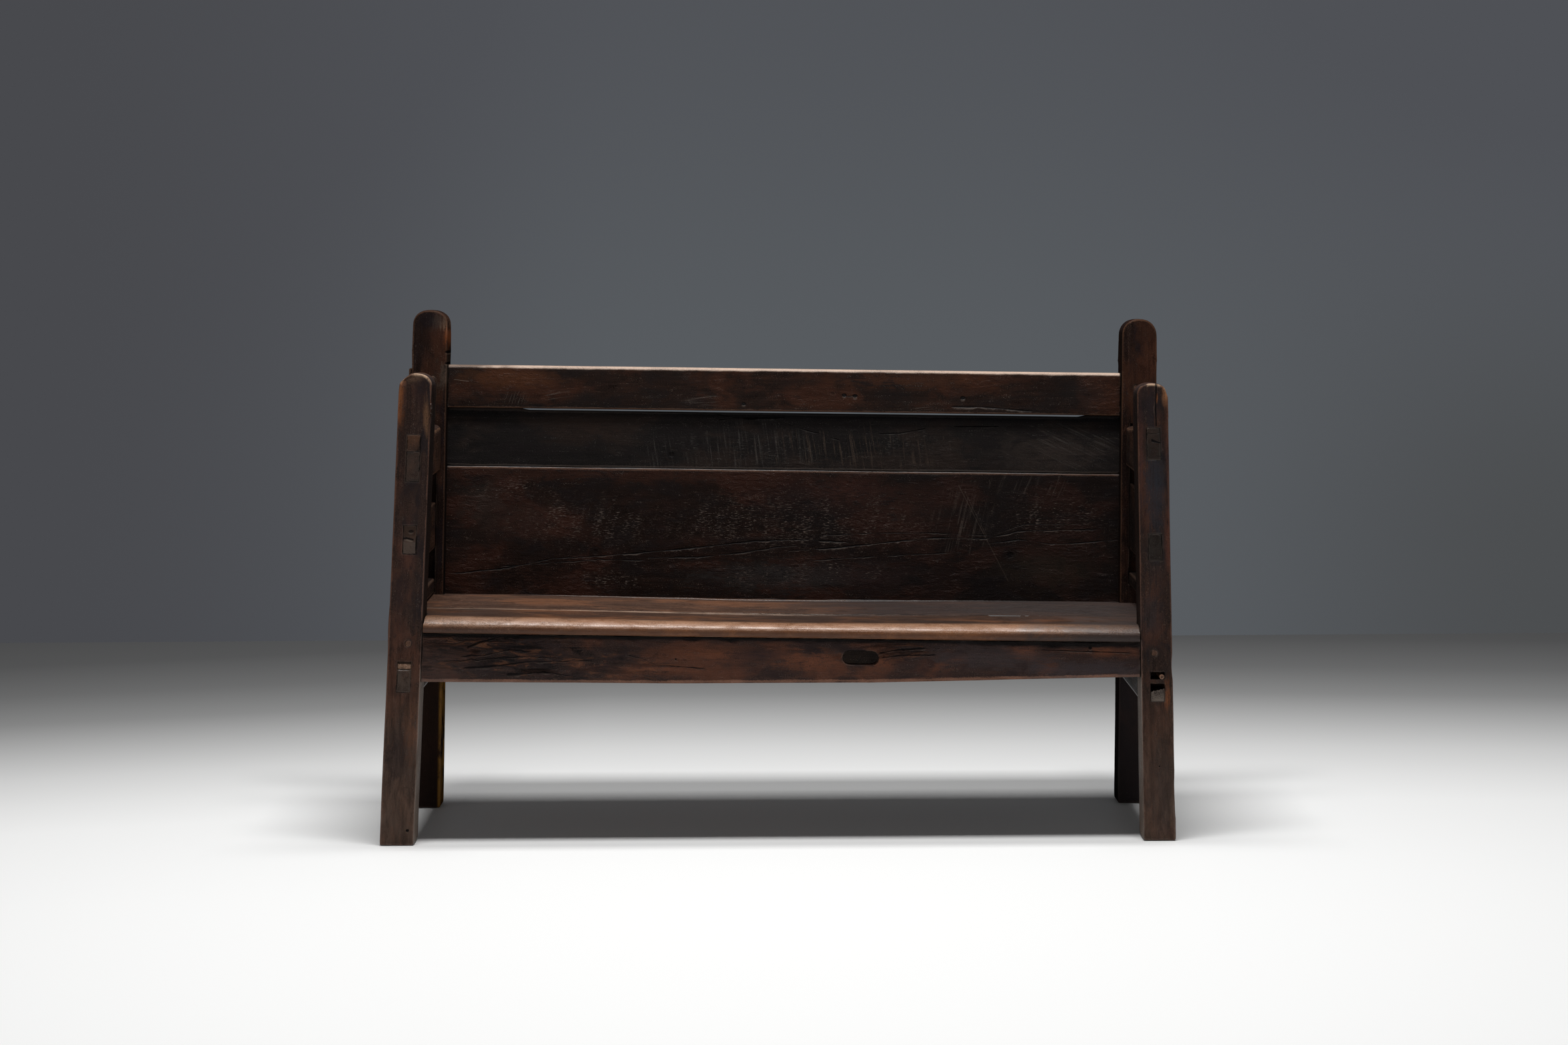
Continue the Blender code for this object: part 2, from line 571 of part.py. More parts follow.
def seat_rear_board():
    half = SEAT_RAIL_OUT + SEAT_SIDE_OVERHANG
    front = -NOSE_OVERHANG + FRONT_BOARD_WIDTH + FIT
    board = block("seat_rear_board", (-half, half), (front, BOARD_FACE - FIT),
                  (SEAT_UNDER, SEAT_HEIGHT), edge=0.0015, along=0)
    for side in SIDES.values():
        cut(board, block("notch", mirrored(side["sign"], INNER - FIT, half + 0.02),
                         (REAR_FACE - FIT, BOARD_FACE + 0.02),
                         (SEAT_UNDER - 0.02, SEAT_HEIGHT + 0.02)))
    finish(board, "seat_rear_board")
    return board


def back_board(name, under, top, kind):
    reach = INNER + BACK_BOARD_TONGUE
    board = block(name, (-reach, reach), (BOARD_FACE, BOARD_BACK), (under, top),
                  edge=0.0015, along=0)
    finish(board, kind)
    return board


def back_top_rail():
    back = TOP_RAIL_FACE + TOP_RAIL_THICKNESS
    section = [(TOP_RAIL_FACE, TOP_RAIL_UNDER), (back, TOP_RAIL_UNDER)]
    for corner, start in ((back - TOP_RAIL_ROUND, 0), (TOP_RAIL_FACE + TOP_RAIL_ROUND, 90)):
        for k in range(5):
            turn = math.radians(start + 90 * k / 4)
            section.append((corner + TOP_RAIL_ROUND * math.cos(turn),
                            TOP_RAIL_TOP - TOP_RAIL_ROUND * (1 - math.sin(turn))))
    rail = prism("back_top_rail", section, 0, -INNER + FIT, INNER - FIT)
    top = TOP_RAIL_TOP - TOP_RAIL_ROUND
    outer = INNER + REAR_POST_WIDTH
    face = top_tenon_face()
    for sign in (-1, 1):
        join(rail, block("tenon", mirrored(sign, INNER - 0.02, outer),
                         (face, face + TOP_TENON_THICKNESS), (top - TOP_TENON_HEIGHT, top)))
        if sign < 0:
            join(rail, block("stub", mirrored(sign, outer - 0.01, outer + TOP_TENON_STUB),
                             (face, face + TOP_TENON_THICKNESS),
                             (top - TOP_TENON_STUB_HEIGHT, top)))
        cut(rail, dowel("peg_hole", back_peg_centre(sign), BACK_PEG_DIAMETER + 2 * FIT,
                        REAR_FACE - 0.02, REAR_BACK + 0.02))
    finish(rail, "back_top_rail")
    return rail


def driven_wedge(name, tenon_top, height, taper, recess):
    """A wedge driven in over one of the left tenons, its thick end towards the post's face."""
    under = tenon_top + FIT
    profile = [(recess, under), (WEDGE_LENGTH, under), (WEDGE_LENGTH, under + height - taper),
               (recess, under + height)]
    a = sorted(mirrored(SIDES["left"]["sign"], TENON_IN, TENON_OUT))
    wedge = prism(name, profile, 0, a[0], a[1])
    finish(wedge, "wedge")
    return wedge


def arm_wedge():
    side = SIDES["left"]
    return driven_wedge("arm_wedge_left", side["arm_under"] + side["arm_rise"]
                        + side["arm_tenon"], WEDGE_HEIGHT, WEDGE_TAPER, 0.0)


def seat_wedge():
    side = SIDES["left"]
    return driven_wedge("seat_wedge_left", SEAT_RAIL_UNDER + SEAT_TENON_RISE
                        + side["seat_tenon"], side["seat_void"] - FIT, SEAT_WEDGE_TAPER,
                        SEAT_WEDGE_RECESS)


def tenon_key():
    side = SIDES["right"]
    hole = (SEAT_RAIL_UNDER + SEAT_TENON_RISE + side["seat_tenon"] + side["seat_void"]
            + KEY_HOLE_GAP)
    centre = (side["sign"] * (TENON_OUT - KEY_DIAMETER / 2), hole + KEY_DIAMETER / 2)
    key = dowel("tenon_key_right", centre, KEY_DIAMETER, 0.0, KEY_LENGTH, sides=12)
    finish(key, "peg")
    return key


def peg(name, centre, diameter, low, high):
    pin = dowel(name, centre, diameter, low, high)
    finish(pin, "peg")
    return pin


def settle(point):
    """Moves a point of the square bench to where it stands on the real one."""
    a, b, c = point
    share = min(max((b - FRONT_POST_DEPTH) / CLEAR_DEPTH, 0.0), 1.0)
    splay = FRONT_SPLAY + (REAR_SPLAY - FRONT_SPLAY) * share
    rake = REAR_RAKE * share
    centre = INNER + REAR_POST_WIDTH / 2
    return Vector((a * (1 - splay * c / centre) + LEAN * c, b + rake * c, c - LEAN * a))


def stand(pieces):
    """Gives every piece its stance, saws the feet level, and centres the bench on the origin."""
    for obj in pieces:
        work = bmesh.new()
        work.from_mesh(obj.data)
        # the stance changes its rate at these two planes, so what crosses them bends there
        for level in (FRONT_POST_DEPTH, REAR_FACE):
            bmesh.ops.bisect_plane(work, geom=work.verts[:] + work.edges[:] + work.faces[:],
                                   dist=1e-6, plane_co=(0, level, 0), plane_no=(0, 1, 0))
        for corner in work.verts:
            corner.co = settle(corner.co)
        if min(corner.co.z for corner in work.verts) < 0:
            bmesh.ops.bisect_plane(work, geom=work.verts[:] + work.edges[:] + work.faces[:],
                                   dist=1e-7, plane_co=(0, 0, 0), plane_no=(0, 0, 1),
                                   clear_inner=True)
            bmesh.ops.holes_fill(work, edges=[e for e in work.edges if e.is_boundary])
            bmesh.ops.recalc_face_normals(work, faces=work.faces)
        bmesh.ops.triangulate(work, faces=work.faces)
        work.to_mesh(obj.data)
        work.free()
    corners = [corner.co for obj in pieces for corner in obj.data.vertices]
    middle = Vector((min(p.x for p in corners) + max(p.x for p in corners),
                     min(p.y for p in corners) + max(p.y for p in corners), 0.0)) / 2
    for obj in pieces:
        for corner in obj.data.vertices:
            corner.co -= middle
        obj.data.update()
        obj.data.shade_smooth()
        obj.data.set_sharp_from_angle(angle=math.radians(30))


for old in list(bpy.data.objects):
    bpy.data.objects.remove(old)

bench = []
for name in SIDES:
    bench += [front_post(name), rear_post(name), arm_rail(name), mid_rail(name),
              low_rail(name), seat_rail(name)]
    sign = SIDES[name]["sign"]
    bench.append(peg("apron_peg_" + name, apron_peg_centre(sign), APRON_PEG_DIAMETER,
                     0.0, APRON_PEG_LENGTH))
    bench.append(peg("back_rail_peg_" + name, back_peg_centre(sign), BACK_PEG_DIAMETER,
                     REAR_FACE, REAR_FACE + BACK_PEG_LENGTH))
bench += [apron(), rear_seat_rail(), seat_front_board(), seat_rear_board(),
          back_board("back_lower_board", SEAT_UNDER + FIT, LOWER_BOARD_TOP, "back_lower_board"),
          back_board("back_middle_board", LOWER_BOARD_TOP + FIT, MIDDLE_BOARD_TOP,
                     "back_middle_board"),
          back_top_rail(), arm_wedge(), seat_wedge(), tenon_key()]
stand(bench)
print("bench made of", len(bench), "pieces,",
      sum(len(obj.data.polygons) for obj in bench), "triangles")
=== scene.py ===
import math

import bmesh
import bpy
import numpy as np
from mathutils import Matrix, Vector
from mathutils.bvhtree import BVHTree


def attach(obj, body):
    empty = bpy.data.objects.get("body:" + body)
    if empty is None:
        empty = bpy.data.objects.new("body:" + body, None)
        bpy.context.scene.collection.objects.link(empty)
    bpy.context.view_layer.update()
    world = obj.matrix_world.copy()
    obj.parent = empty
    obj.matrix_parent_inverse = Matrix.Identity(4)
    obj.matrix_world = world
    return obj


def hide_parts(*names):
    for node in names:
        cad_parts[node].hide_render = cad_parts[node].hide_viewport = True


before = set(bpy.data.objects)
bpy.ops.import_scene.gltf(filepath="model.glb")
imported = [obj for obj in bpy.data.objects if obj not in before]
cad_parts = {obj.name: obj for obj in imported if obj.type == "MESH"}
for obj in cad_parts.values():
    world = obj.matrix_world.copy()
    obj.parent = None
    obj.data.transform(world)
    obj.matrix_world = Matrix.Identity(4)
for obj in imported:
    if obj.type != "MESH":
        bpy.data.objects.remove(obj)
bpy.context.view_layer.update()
print("frame loaded,", len(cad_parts), "timbers")


def paint(red, green, blue):
    # a screen colour as the linear value that shaders take
    return tuple(((v / 255 + 0.055) / 1.055) ** 2.4 for v in (red, green, blue)) + (1.0,)


# The bench was cut square, then leaned, splayed and raked; a, b, c are across, back and up on the
# square bench. The first four numbers are metres per metre, the others metres.
stance = dict(lean=0.0190, frontSplay=0.05035, rearSplay=0.00668, rake=0.0612,
              shiftX=-0.0069, shiftY=-0.2856, frontDepth=0.070, clearDepth=0.368)


def settle(a, b, c):
    share = np.clip((b - stance["frontDepth"]) / stance["clearDepth"], 0, 1)
    splay = stance["frontSplay"] + (stance["rearSplay"] - stance["frontSplay"]) * share
    return (a * (1 - splay * c) + stance["lean"] * c + stance["shiftX"],
            b + stance["rake"] * share * c + stance["shiftY"],
            c - stance["lean"] * a)


def unsettle(x, y, z):
    a, b, c = x - stance["shiftX"], y - stance["shiftY"], z + stance["lean"] * x
    for _ in range(12):
        gotX, gotY, gotZ = settle(a, b, c)
        a, b, c = a + (x - gotX), b + (y - gotY), c + (z - gotZ)
    return a, b, c


def newObject(name, data):
    obj = bpy.data.objects.new(name, data)
    bpy.context.scene.collection.objects.link(obj)
    return obj


# where the photograph was taken from: metres, a lens in millimetres on a 36 mm frame, degrees
cameraView = dict(place=(0.0031, -5.8986, 1.061), lens=4200 / 2353 * 36, yaw=-0.048,
                  pitch=4.165, roll=0.363)


def placeCamera():
    yaw, pitch, roll = (math.radians(cameraView[k]) for k in ("yaw", "pitch", "roll"))
    turn = (Matrix.Rotation(yaw, 3, "Z") @ Matrix.Rotation(-pitch, 3, "X")
            @ Matrix.Rotation(roll, 3, "Y"))
    right, ahead, up = turn.col[0], turn.col[1], turn.col[2]
    pose = Matrix((right, up, -ahead)).transposed().to_4x4()
    pose.translation = Vector(cameraView["place"])
    lens = bpy.data.cameras.new("camera")
    lens.sensor_width = 36.0
    lens.lens = cameraView["lens"]
    lens.clip_end = 100
    camera = newObject("camera", lens)
    camera.matrix_world = pose
    bpy.context.scene.camera = camera


placeCamera()
print("camera placed")


# Shader maths: a Wire is one output of a node, and arithmetic on it adds Math nodes
class Wire:
    def __init__(self, tree, socket):
        self.tree, self.socket = tree, socket

    def node(self, kind, settings=None, out=0, **links):
        made = self.tree.nodes.new(kind)
        for key, value in (settings or {}).items():
            if key == "stops":
                fillRamp(made.color_ramp, value)
            else:
                setattr(made, key, value)
        for key, value in links.items():
            target = made.inputs[int(key[2:]) if key.startswith("at") else key.replace("_", " ")]
            if isinstance(value, Wire):
                self.tree.links.new(value.socket, target)
            else:
                target.default_value = value
        return Wire(self.tree, made.outputs[out])

    def maths(self, operation, *others):
        links = {"at" + str(k + 1): v for k, v in enumerate(others)}
        return self.node("ShaderNodeMath", dict(operation=operation), at0=self, **links)

    def __add__(self, other): return self.maths("ADD", other)
    def __radd__(self, other): return self.maths("ADD", other)
    def __sub__(self, other): return self.maths("SUBTRACT", other)
    def __rsub__(self, other): return -self + other
    def __mul__(self, other): return self.maths("MULTIPLY", other)
    def __rmul__(self, other): return self.maths("MULTIPLY", other)
    def __truediv__(self, other): return self.maths("DIVIDE", other)
    def __neg__(self): return self * -1.0
    def __abs__(self): return self.maths("ABSOLUTE")

    def power(self, exponent): return self.maths("POWER", exponent)
    def atLeast(self, other): return self.maths("MAXIMUM", other)
    def atMost(self, other): return self.maths("MINIMUM", other)

    def step(self, low, high):
        # 0 at low, 1 at high, smooth between them; low may be the larger
        return self.node("ShaderNodeMapRange", dict(interpolation_type="SMOOTHSTEP"),
                         Value=self, From_Min=low, From_Max=high)

    def curve(self, stops):
        # a value read off a line of (position, value) points between 0 and 1
        return self.node("ShaderNodeValToRGB",
                         dict(stops=[(at, (v, v, v, 1)) for at, v in stops]), Fac=self)

    def tint(self, first, second):
        # colours first and second, mixed by this value
        return self.node("ShaderNodeMix", dict(data_type="RGBA"), out=2,
                         at0=self, at6=first, at7=second)


def fillRamp(ramp, stops):
    while len(ramp.elements) > 1:
        ramp.elements.remove(ramp.elements[-1])
    ramp.elements[0].position, ramp.elements[0].color = stops[0]
    for at, colour in stops[1:]:
        ramp.elements.new(at).color = colour


def newMaterial(name):
    material = bpy.data.materials.new(name)
    material.use_nodes = True
    return material, material.node_tree.nodes["Principled BSDF"]


def axesOf(tree, kind):
    # the three values of a texture coordinate
    spot = tree.nodes.new("ShaderNodeTexCoord").outputs[kind]
    parts = tree.nodes.new("ShaderNodeSeparateXYZ")
    tree.links.new(spot, parts.inputs[0])
    return [Wire(tree, parts.outputs[k]) for k in range(3)]


def squareAxes(tree, row):
    # a, b and c of the square bench from the place in the world; row is front, rear or side
    x, y, z = axesOf(tree, "Object")
    share = dict(front=0.0, rear=1.0).get(row)
    if row == "side":
        share = ((y - (stance["shiftY"] + stance["frontDepth"]))
                 / stance["clearDepth"]).step(0.0, 1.0)
    splay = share * (stance["rearSplay"] - stance["frontSplay"]) + stance["frontSplay"]
    c = z + (x - stance["shiftX"]) * stance["lean"]
    a = (x - stance["shiftX"] - c * stance["lean"]) / (1 - c * splay)
    b = y - stance["shiftY"] - c * (share * stance["rake"])
    return a, b, c


def noiseOf(place, scales, seed, detail=3.0, rough=0.55, warp=0.0):
    # noise over three values, each with its own scale in cycles a metre
    u, v, w = place
    spot = u.node("ShaderNodeCombineXYZ", X=u * scales[0] + seed, Y=v * scales[1] + seed * 1.7,
                  Z=w * scales[2] - seed * 0.6)
    return u.node("ShaderNodeTexNoise", Vector=spot, Scale=1.0, Detail=detail, Roughness=rough,
                  Distortion=warp)


class Timber:
    # the running state of one timber's finish: colour, roughness, wax and height in metres
    def __init__(self, name, look):
        colours = {key: tuple(v * look["level"] * c for v, c in zip(
            paint(*look[key]), look["cast"])) + (1.0,)
            for key in ("dark", "mid", "warm", "sooty", "worn")}
        self.look = look = dict(look, pale=paint(*look["pale"]), **colours)
        self.material, self.shader = newMaterial(name)
        tree = self.material.node_tree
        self.a, self.b, self.c = squareAxes(tree, look["row"])
        order = dict(a="abc", b="bac", c="cab")[look["grain"]]
        self.along, self.across, self.deep = (getattr(self, k) for k in order)
        self.place = (self.along, self.across, self.deep)
        self.arris, self.joint = (self.distance(tree, k) for k in ("arris", "joint"))
        self.seed = float(look["seed"])
        self.shake = self.noise(45, 26, 90, 4.0, 0.65) - 0.5
        self.ragged = self.noise(22, 13, 95, 2.0).step(0.28, 0.62)
        self.cuts = self.lips = None

    def distance(self, tree, name):
        node = tree.nodes.new("ShaderNodeAttribute")
        node.attribute_name = name
        return Wire(tree, node.outputs["Fac"])

    def noise(self, along, across, shift, detail=3.0, rough=0.55, warp=0.0, place=None):
        return noiseOf(place or self.place, (along, across, across), self.seed + shift,
                       detail, rough, warp)

    def cover(self, mask, colour, amount=1.0):
        # the colour is a screen colour or the name of one of the look's own
        colour = self.look[colour] if isinstance(colour, str) else paint(*colour)
        self.colour = (mask * amount).tint(self.colour, colour)

    def cut(self, mask, lip=None):
        # marks that are cut into the wood are gathered, and go on together at the end
        if mask:
            self.cuts = mask if self.cuts is None else self.cuts.atLeast(mask)
        if lip:
            self.lips = lip if self.lips is None else self.lips.atLeast(lip)

    def close(self):
        tree, look = self.material.node_tree, self.look
        # painted highlights: the lips are painted pale where splits, holes and ridges catch the
        # light, like the thin pale lines at tight joints, and all are raised a little
        if self.lips:
            self.cover(self.lips, "pale")
            self.height = self.height + self.lips * 0.0003
        if self.cuts:
            self.cover(self.cuts, (6, 4, 4))
            self.height = self.height - self.cuts * 0.0016
            self.rough = self.rough + self.cuts * 0.3
        bump = self.a.node("ShaderNodeBump", Strength=1.0, Distance=1.0, Height=self.height)
        tree.links.new(self.colour.socket, self.shader.inputs["Base Color"])
        tree.links.new(self.rough.atLeast(0.16).atMost(0.95).socket,
                       self.shader.inputs["Roughness"])
        tree.links.new(bump.socket, self.shader.inputs["Normal"])
        self.shader.inputs["Specular IOR Level"].default_value = look["shine"]
        tree.links.new(self.wax.atMost(1.0).socket, self.shader.inputs["Coat Weight"])
        self.shader.inputs["Coat Roughness"].default_value = look["waxRough"]
        return self.material


def growWood(t):
    # the wood itself: figure, fibres, torn patches, stains, soot, painted glints, rubbed arrises,
    # dirty joints; each noise has its scales along and across the grain, in cycles a metre
    look = t.look
    sway = t.noise(2.0, 4.5, 1, 2.0) - 0.5
    level = t.across - t.along * look["slant"] + sway * look["sway"]
    bent = (t.along, level, t.deep + sway * 0.02)
    figure = t.noise(1.3, 60, 3, 4.0, 0.6, 0.0, bent) - 0.5
    fibre = t.noise(9.0, 300, 7, 4.0, 0.68, 0.0, bent) - 0.5
    patch = t.noise(6.0, 11.0, 15, 3.0, 0.55, 0.4) - 0.5
    soot = t.noise(18.0, 36.0, 19, 4.0, 0.62, 0.6) - 0.5
    dent = t.noise(45, 110, 21, 3.0, 0.6, 0.3, bent) - 0.5
    grit = t.noise(380, 600, 25, 2.0, 0.6) - 0.5
    torn = (patch + soot).step(look["torn"], look["torn"] + 0.16)
    tone = figure * 0.6 + fibre * look["streaks"] + grit * 2.1 + soot * 0.9 + dent * torn * 0.9
    t.colour = tone.step(-0.32, 0.34).tint(look["dark"], look["mid"])
    ruddy = patch * 2.4 + soot * 1.2 + fibre * 0.5
    t.cover(ruddy.step(-0.10, 0.36), "warm", look["warmth"])
    inky = soot * 1.7 - patch * 1.3 + grit * 0.6 + fibre * 0.4
    t.cover(inky.step(0.0, 0.32), "sooty", look["soot"])
    # painted glints: pale flecks where the rough surface would catch the light
    fleckGlints = (grit * 2.2 + dent * 1.2 + fibre * 1.0).step(0.36, 0.60)
    t.cover(fleckGlints, "pale", look["fleckGlint"])
    rubbed = t.arris.step(0.007, 0.0) * 1.5 - 0.45 + soot * 2.2 + grit * 1.2
    rubbed = rubbed.step(0.05, 0.75)
    t.cover(rubbed, "worn", look["rub"])
    # joints: black where they stand open, a thin pale line where they are tight
    gaping = (soot * 3.4 + grit * 1.6 + dent).step(-0.30, 0.30) * t.ragged
    t.cover(t.joint.step(0.012, 0.0) * soot.step(-0.12, 0.12), "sooty", 0.6)
    t.cut(t.joint.step(look["gap"], 0.0004) * (gaping * 0.85 + 0.1),
          t.joint.step(0.0030, 0.0008) * (0.8 - gaping).atLeast(0.0) * 0.13)
    t.rough = look["rough"] + soot * 0.5 + fibre * 0.4 + grit * 0.4 - rubbed * 0.06
    relief = look["relief"]
    t.height = (dent * torn * (0.0042 * relief) + fibre * (0.0007 * relief)
                + grit * (0.00105 * relief) + soot * (0.0022 * relief))
    t.wax = (rubbed + fleckGlints * 0.5) * look["wax"]  # handling polished what it rubbed
    t.fibre, t.patch, t.soot, t.dent, t.grit = fibre, patch, soot, dent, grit


def woodFinish(name, look, marks=None):
    t = Timber(name, look)
    growWood(t)
    if marks:
        marks(t)
    return t.close()


# Marks that a timber's finish may carry. Their places and sizes are metres of a and c on the
# square bench, and an amount is a share from 0 to 1.
def each(mark, t, *rows):
    for row in rows:
        mark(t, *row)


def splitAlong(t, path, width, wander, glint=0.35, dark=0.9, upright=False):
    # a split through some points, each (a, c), or (c, a) when upright; glint is its lit lip
    p, q = (t.c, t.a) if upright else (t.a, t.c)
    low, high = path[0][0], path[-1][0]
    span = high - low
    least = min(v for _, v in path)
    tall = max(max(v for _, v in path) - least, 1e-4)
    share = (p - low) / span
    line = share.curve([((at - low) / span, (v - least) / tall) for at, v in path]) * tall + least
    off = q - line + t.shake * (wander * 1.8)
    wide = (t.ragged * 0.9 + 0.1) * (width * 0.62)
    ends = (share * (1 - share)).step(0.0, 0.05)
    mask = (abs(off) / wide).step(1.5, 0.5) * ends
    lip = (abs(off + wide * 2.0) / wide).step(1.5, 0.3) * ends * t.shake.step(-0.08, 0.12)
    t.cut(mask * dark, lip * (glint * 0.8))


def reachOf(t, p, q, wide, tall):
    # 0 at a spot on the face, 1 at the rim of the oval round it
    x, y = (t.a - p) / wide, (t.c - q) / tall
    return (x * x + y * y).power(0.5)


def hole(t, p, q, radius, stretch=1.0, dark=0.95):
    reach = reachOf(t, p, q, radius * stretch, radius) + t.shake * 1.4
    below = reachOf(t, p, q - radius * 1.1, radius * stretch, radius) + t.shake * 1.4
    t.cut(reach.step(1.2, 0.8) * dark, below.step(1.2, 0.6) * 0.14)  # lit from above


def crumbled(t, reach, ragged):
    # breaks up the rim of a spot along the grain
    return reach + (t.soot * 3.0 + t.fibre * 2.4 + t.dent * 1.4 + t.grit * 1.4) * ragged


def ripples(t, spots, amount, lean=0.0):
    # painted glints: short ridges in ragged columns, painted pale where they catch the light,
    # within some ovals of the face
    reach = None
    for p, q, wide, tall in spots:
        one = reachOf(t, p, q, wide, tall)
        reach = one if reach is None else reach.atMost(one)
    x = t.a + t.c * lean
    columns = noiseOf((x, t.c, t.b), (60, 14, 1), t.seed + 41, 2.0, 0.5)
    dashes = noiseOf((x, t.c, t.b), (105, 560, 1), t.seed + 43, 1.0, 0.5)
    zone = crumbled(t, reach, 0.6).step(1.2, 0.2)
    t.cut(None, (dashes + columns * 0.45).step(0.81, 1.00) * zone * amount)


def stain(t, p, q, wide, tall, colour, amount, ragged=1.0):
    reach = crumbled(t, reachOf(t, p, q, wide, tall), ragged)
    thin = (t.soot * 1.6 + t.fibre * 1.6 + t.grit * 1.4 + 0.8).atLeast(0.0).atMost(1.0)
    t.cover(reach.step(1.4, 0.3) * thin, colour, amount)


def gnarls(t, p, q, wide, tall, amount=1.0):
    # a stretch of coarse, wrinkled wood: raised ridges along the grain painted pale as lit, with
    # hollows painted black as shade
    ridges = t.noise(17, 84, 61, 5.0, 0.68, 0.9) - 0.5
    zone = crumbled(t, reachOf(t, p, q, wide, tall), 0.6).step(1.25, 0.6) * amount
    t.cover((-ridges).step(0.04, 0.14) * zone, (12, 9, 9), 0.85)
    t.cover(ridges.step(0.02, 0.12) * zone, "worn", 0.55)
    t.height = t.height + ridges * zone * 0.030


def scrapes(t, p, q, wide, tall, turn, pitch, colour, amount, shift=0.0):
    # bundles of thin parallel scratches, turned from the vertical by some degrees; pitch is
    # their number in a metre
    x, y = t.a - p, t.c - q
    swing = math.radians(turn)
    over = x * math.cos(swing) + y * math.sin(swing)
    run = y * math.cos(swing) - x * math.sin(swing)
    lines = noiseOf((run, over, over), (9, pitch, 1), t.seed + shift, 2.0, 0.7)
    zone = crumbled(t, reachOf(t, p, q, wide, tall), 0.7)
    mask = lines.step(0.52, 0.70) * zone.step(1.1, 0.3) * (t.grit * 2.0 + 0.7).atLeast(0.0)
    t.cover(mask, colour, amount)
    t.rough = t.rough - mask * 0.1


def scratch(t, start, end, width, colour, amount):
    # one straight scratch from start to end on the face
    (p0, q0), (p1, q1) = start, end
    length = math.hypot(p1 - p0, q1 - q0)
    run = ((t.a - p0) * ((p1 - p0) / length) + (t.c - q0) * ((q1 - q0) / length)) / length
    off = (t.a - p0) * ((q1 - q0) / length) - (t.c - q0) * ((p1 - p0) / length)
    off = off + t.shake * (width * 0.7)
    mask = (abs(off) / (width * 0.5)).step(1.4, 0.4) * (run * (1 - run)).step(0.0, 0.03)
    t.cover(mask * (t.ragged * 0.6 + 0.4), colour, amount)


def knot(t, p, q, radius):
    reach = reachOf(t, p, q, radius, radius * 0.85) + t.soot * 0.8 + t.dent * 0.6
    rings = (reach * 7.0).maths("SINE") * 0.5 + 0.5
    zone = reach.step(1.7, 0.9)
    t.cover(zone, "dark", 0.7)
    t.cover(rings.step(0.55, 0.95) * zone * t.soot.step(-0.1, 0.1), "warm", 0.3)
    t.cut(reach.step(0.55, 0.25) * 0.7)


print("finishes described")

# two overhead softboxes give the shadow its two edges; a low one from the front lifts the faces
lights = dict(
    overhead=dict(power=262, size=(2.6, 0.8), place=(0.0, -1.15, 5.6), aim=(0.0, -0.05, 0.4)),
    second=dict(power=136, size=(2.6, 0.7), place=(0.0, 0.10, 5.6), aim=(0.0, -0.05, 0.4)),
    fill=dict(power=46, size=(4.4, 1.0), place=(0.2, -5.4, 0.95), aim=(0.0, 0.0, 0.5)),
    worldLevel=0.06, backdrop=paint(88, 92, 96), backdropHigh=paint(79, 81, 86),
    backdropLeft=paint(72, 73, 77), backdropRight=paint(76, 78, 80))


def softbox(name, glossy=True):
    box = lights[name]
    lamp = bpy.data.lights.new(name + "Softbox", "AREA")
    lamp.shape, lamp.energy = "RECTANGLE", box["power"]
    lamp.size, lamp.size_y = box["size"]
    obj = newObject(name + "Softbox", lamp)
    obj.location = box["place"]
    way = Vector(box["aim"]) - Vector(box["place"])
    obj.rotation_euler = way.to_track_quat("-Z", "Y").to_euler()
    obj.visible_glossy = glossy


def lightStudio():
    softbox("overhead")
    softbox("second")
    softbox("fill", glossy=False)  # no glare on the dark faces
    world = bpy.data.worlds.new("studio")
    bpy.context.scene.world = world
    world.use_nodes = True
    tree = world.node_tree
    tree.nodes.clear()
    path = tree.nodes.new("ShaderNodeLightPath")
    seen, glossy, through = (Wire(tree, path.outputs[k]) for k in (
        "Is Camera Ray", "Is Glossy Ray", "Is Transmission Ray"))
    sideways, _, height = axesOf(tree, "Generated")
    # the backdrop is painted darker at its top and its sides, as shade on the wall
    shade = (height.step(-0.05, 0.13) * 0.8 + sideways.step(-0.02, -0.26) * 0.9
             + sideways.step(0.06, 0.30) * 0.5)
    wall = shade.tint(lights["backdrop"], lights["backdropHigh"])
    wall = sideways.step(-0.06, -0.26).tint(wall, lights["backdropLeft"])
    wall = (sideways.step(0.13, 0.27) * height.step(0.05, -0.08)).tint(
        wall, lights["backdropRight"])
    plain = seen.node("ShaderNodeBackground", Color=(1, 1, 1, 1), Strength=lights["worldLevel"])
    back = seen.node("ShaderNodeBackground", Color=wall, Strength=1.0)
    both = seen.node("ShaderNodeMixShader", at0=seen.atLeast(glossy).atLeast(through), at1=plain,
                     at2=back)
    final = tree.nodes.new("ShaderNodeOutputWorld")
    tree.links.new(both.socket, final.inputs["Surface"])


# the floor's grey at distances behind the bench's middle, painted darker towards the wall for the
# light's falloff; it lies a little below the soles and ends at the wall
floorShades = ((-0.60, 0.88), (0.25, 0.86), (0.594, 0.79), (1.004, 0.68), (1.468, 0.50),
               (2.00, 0.295), (2.61, 0.19), (3.225, 0.145), (3.38, 0.13))
floorDrop = 0.0004


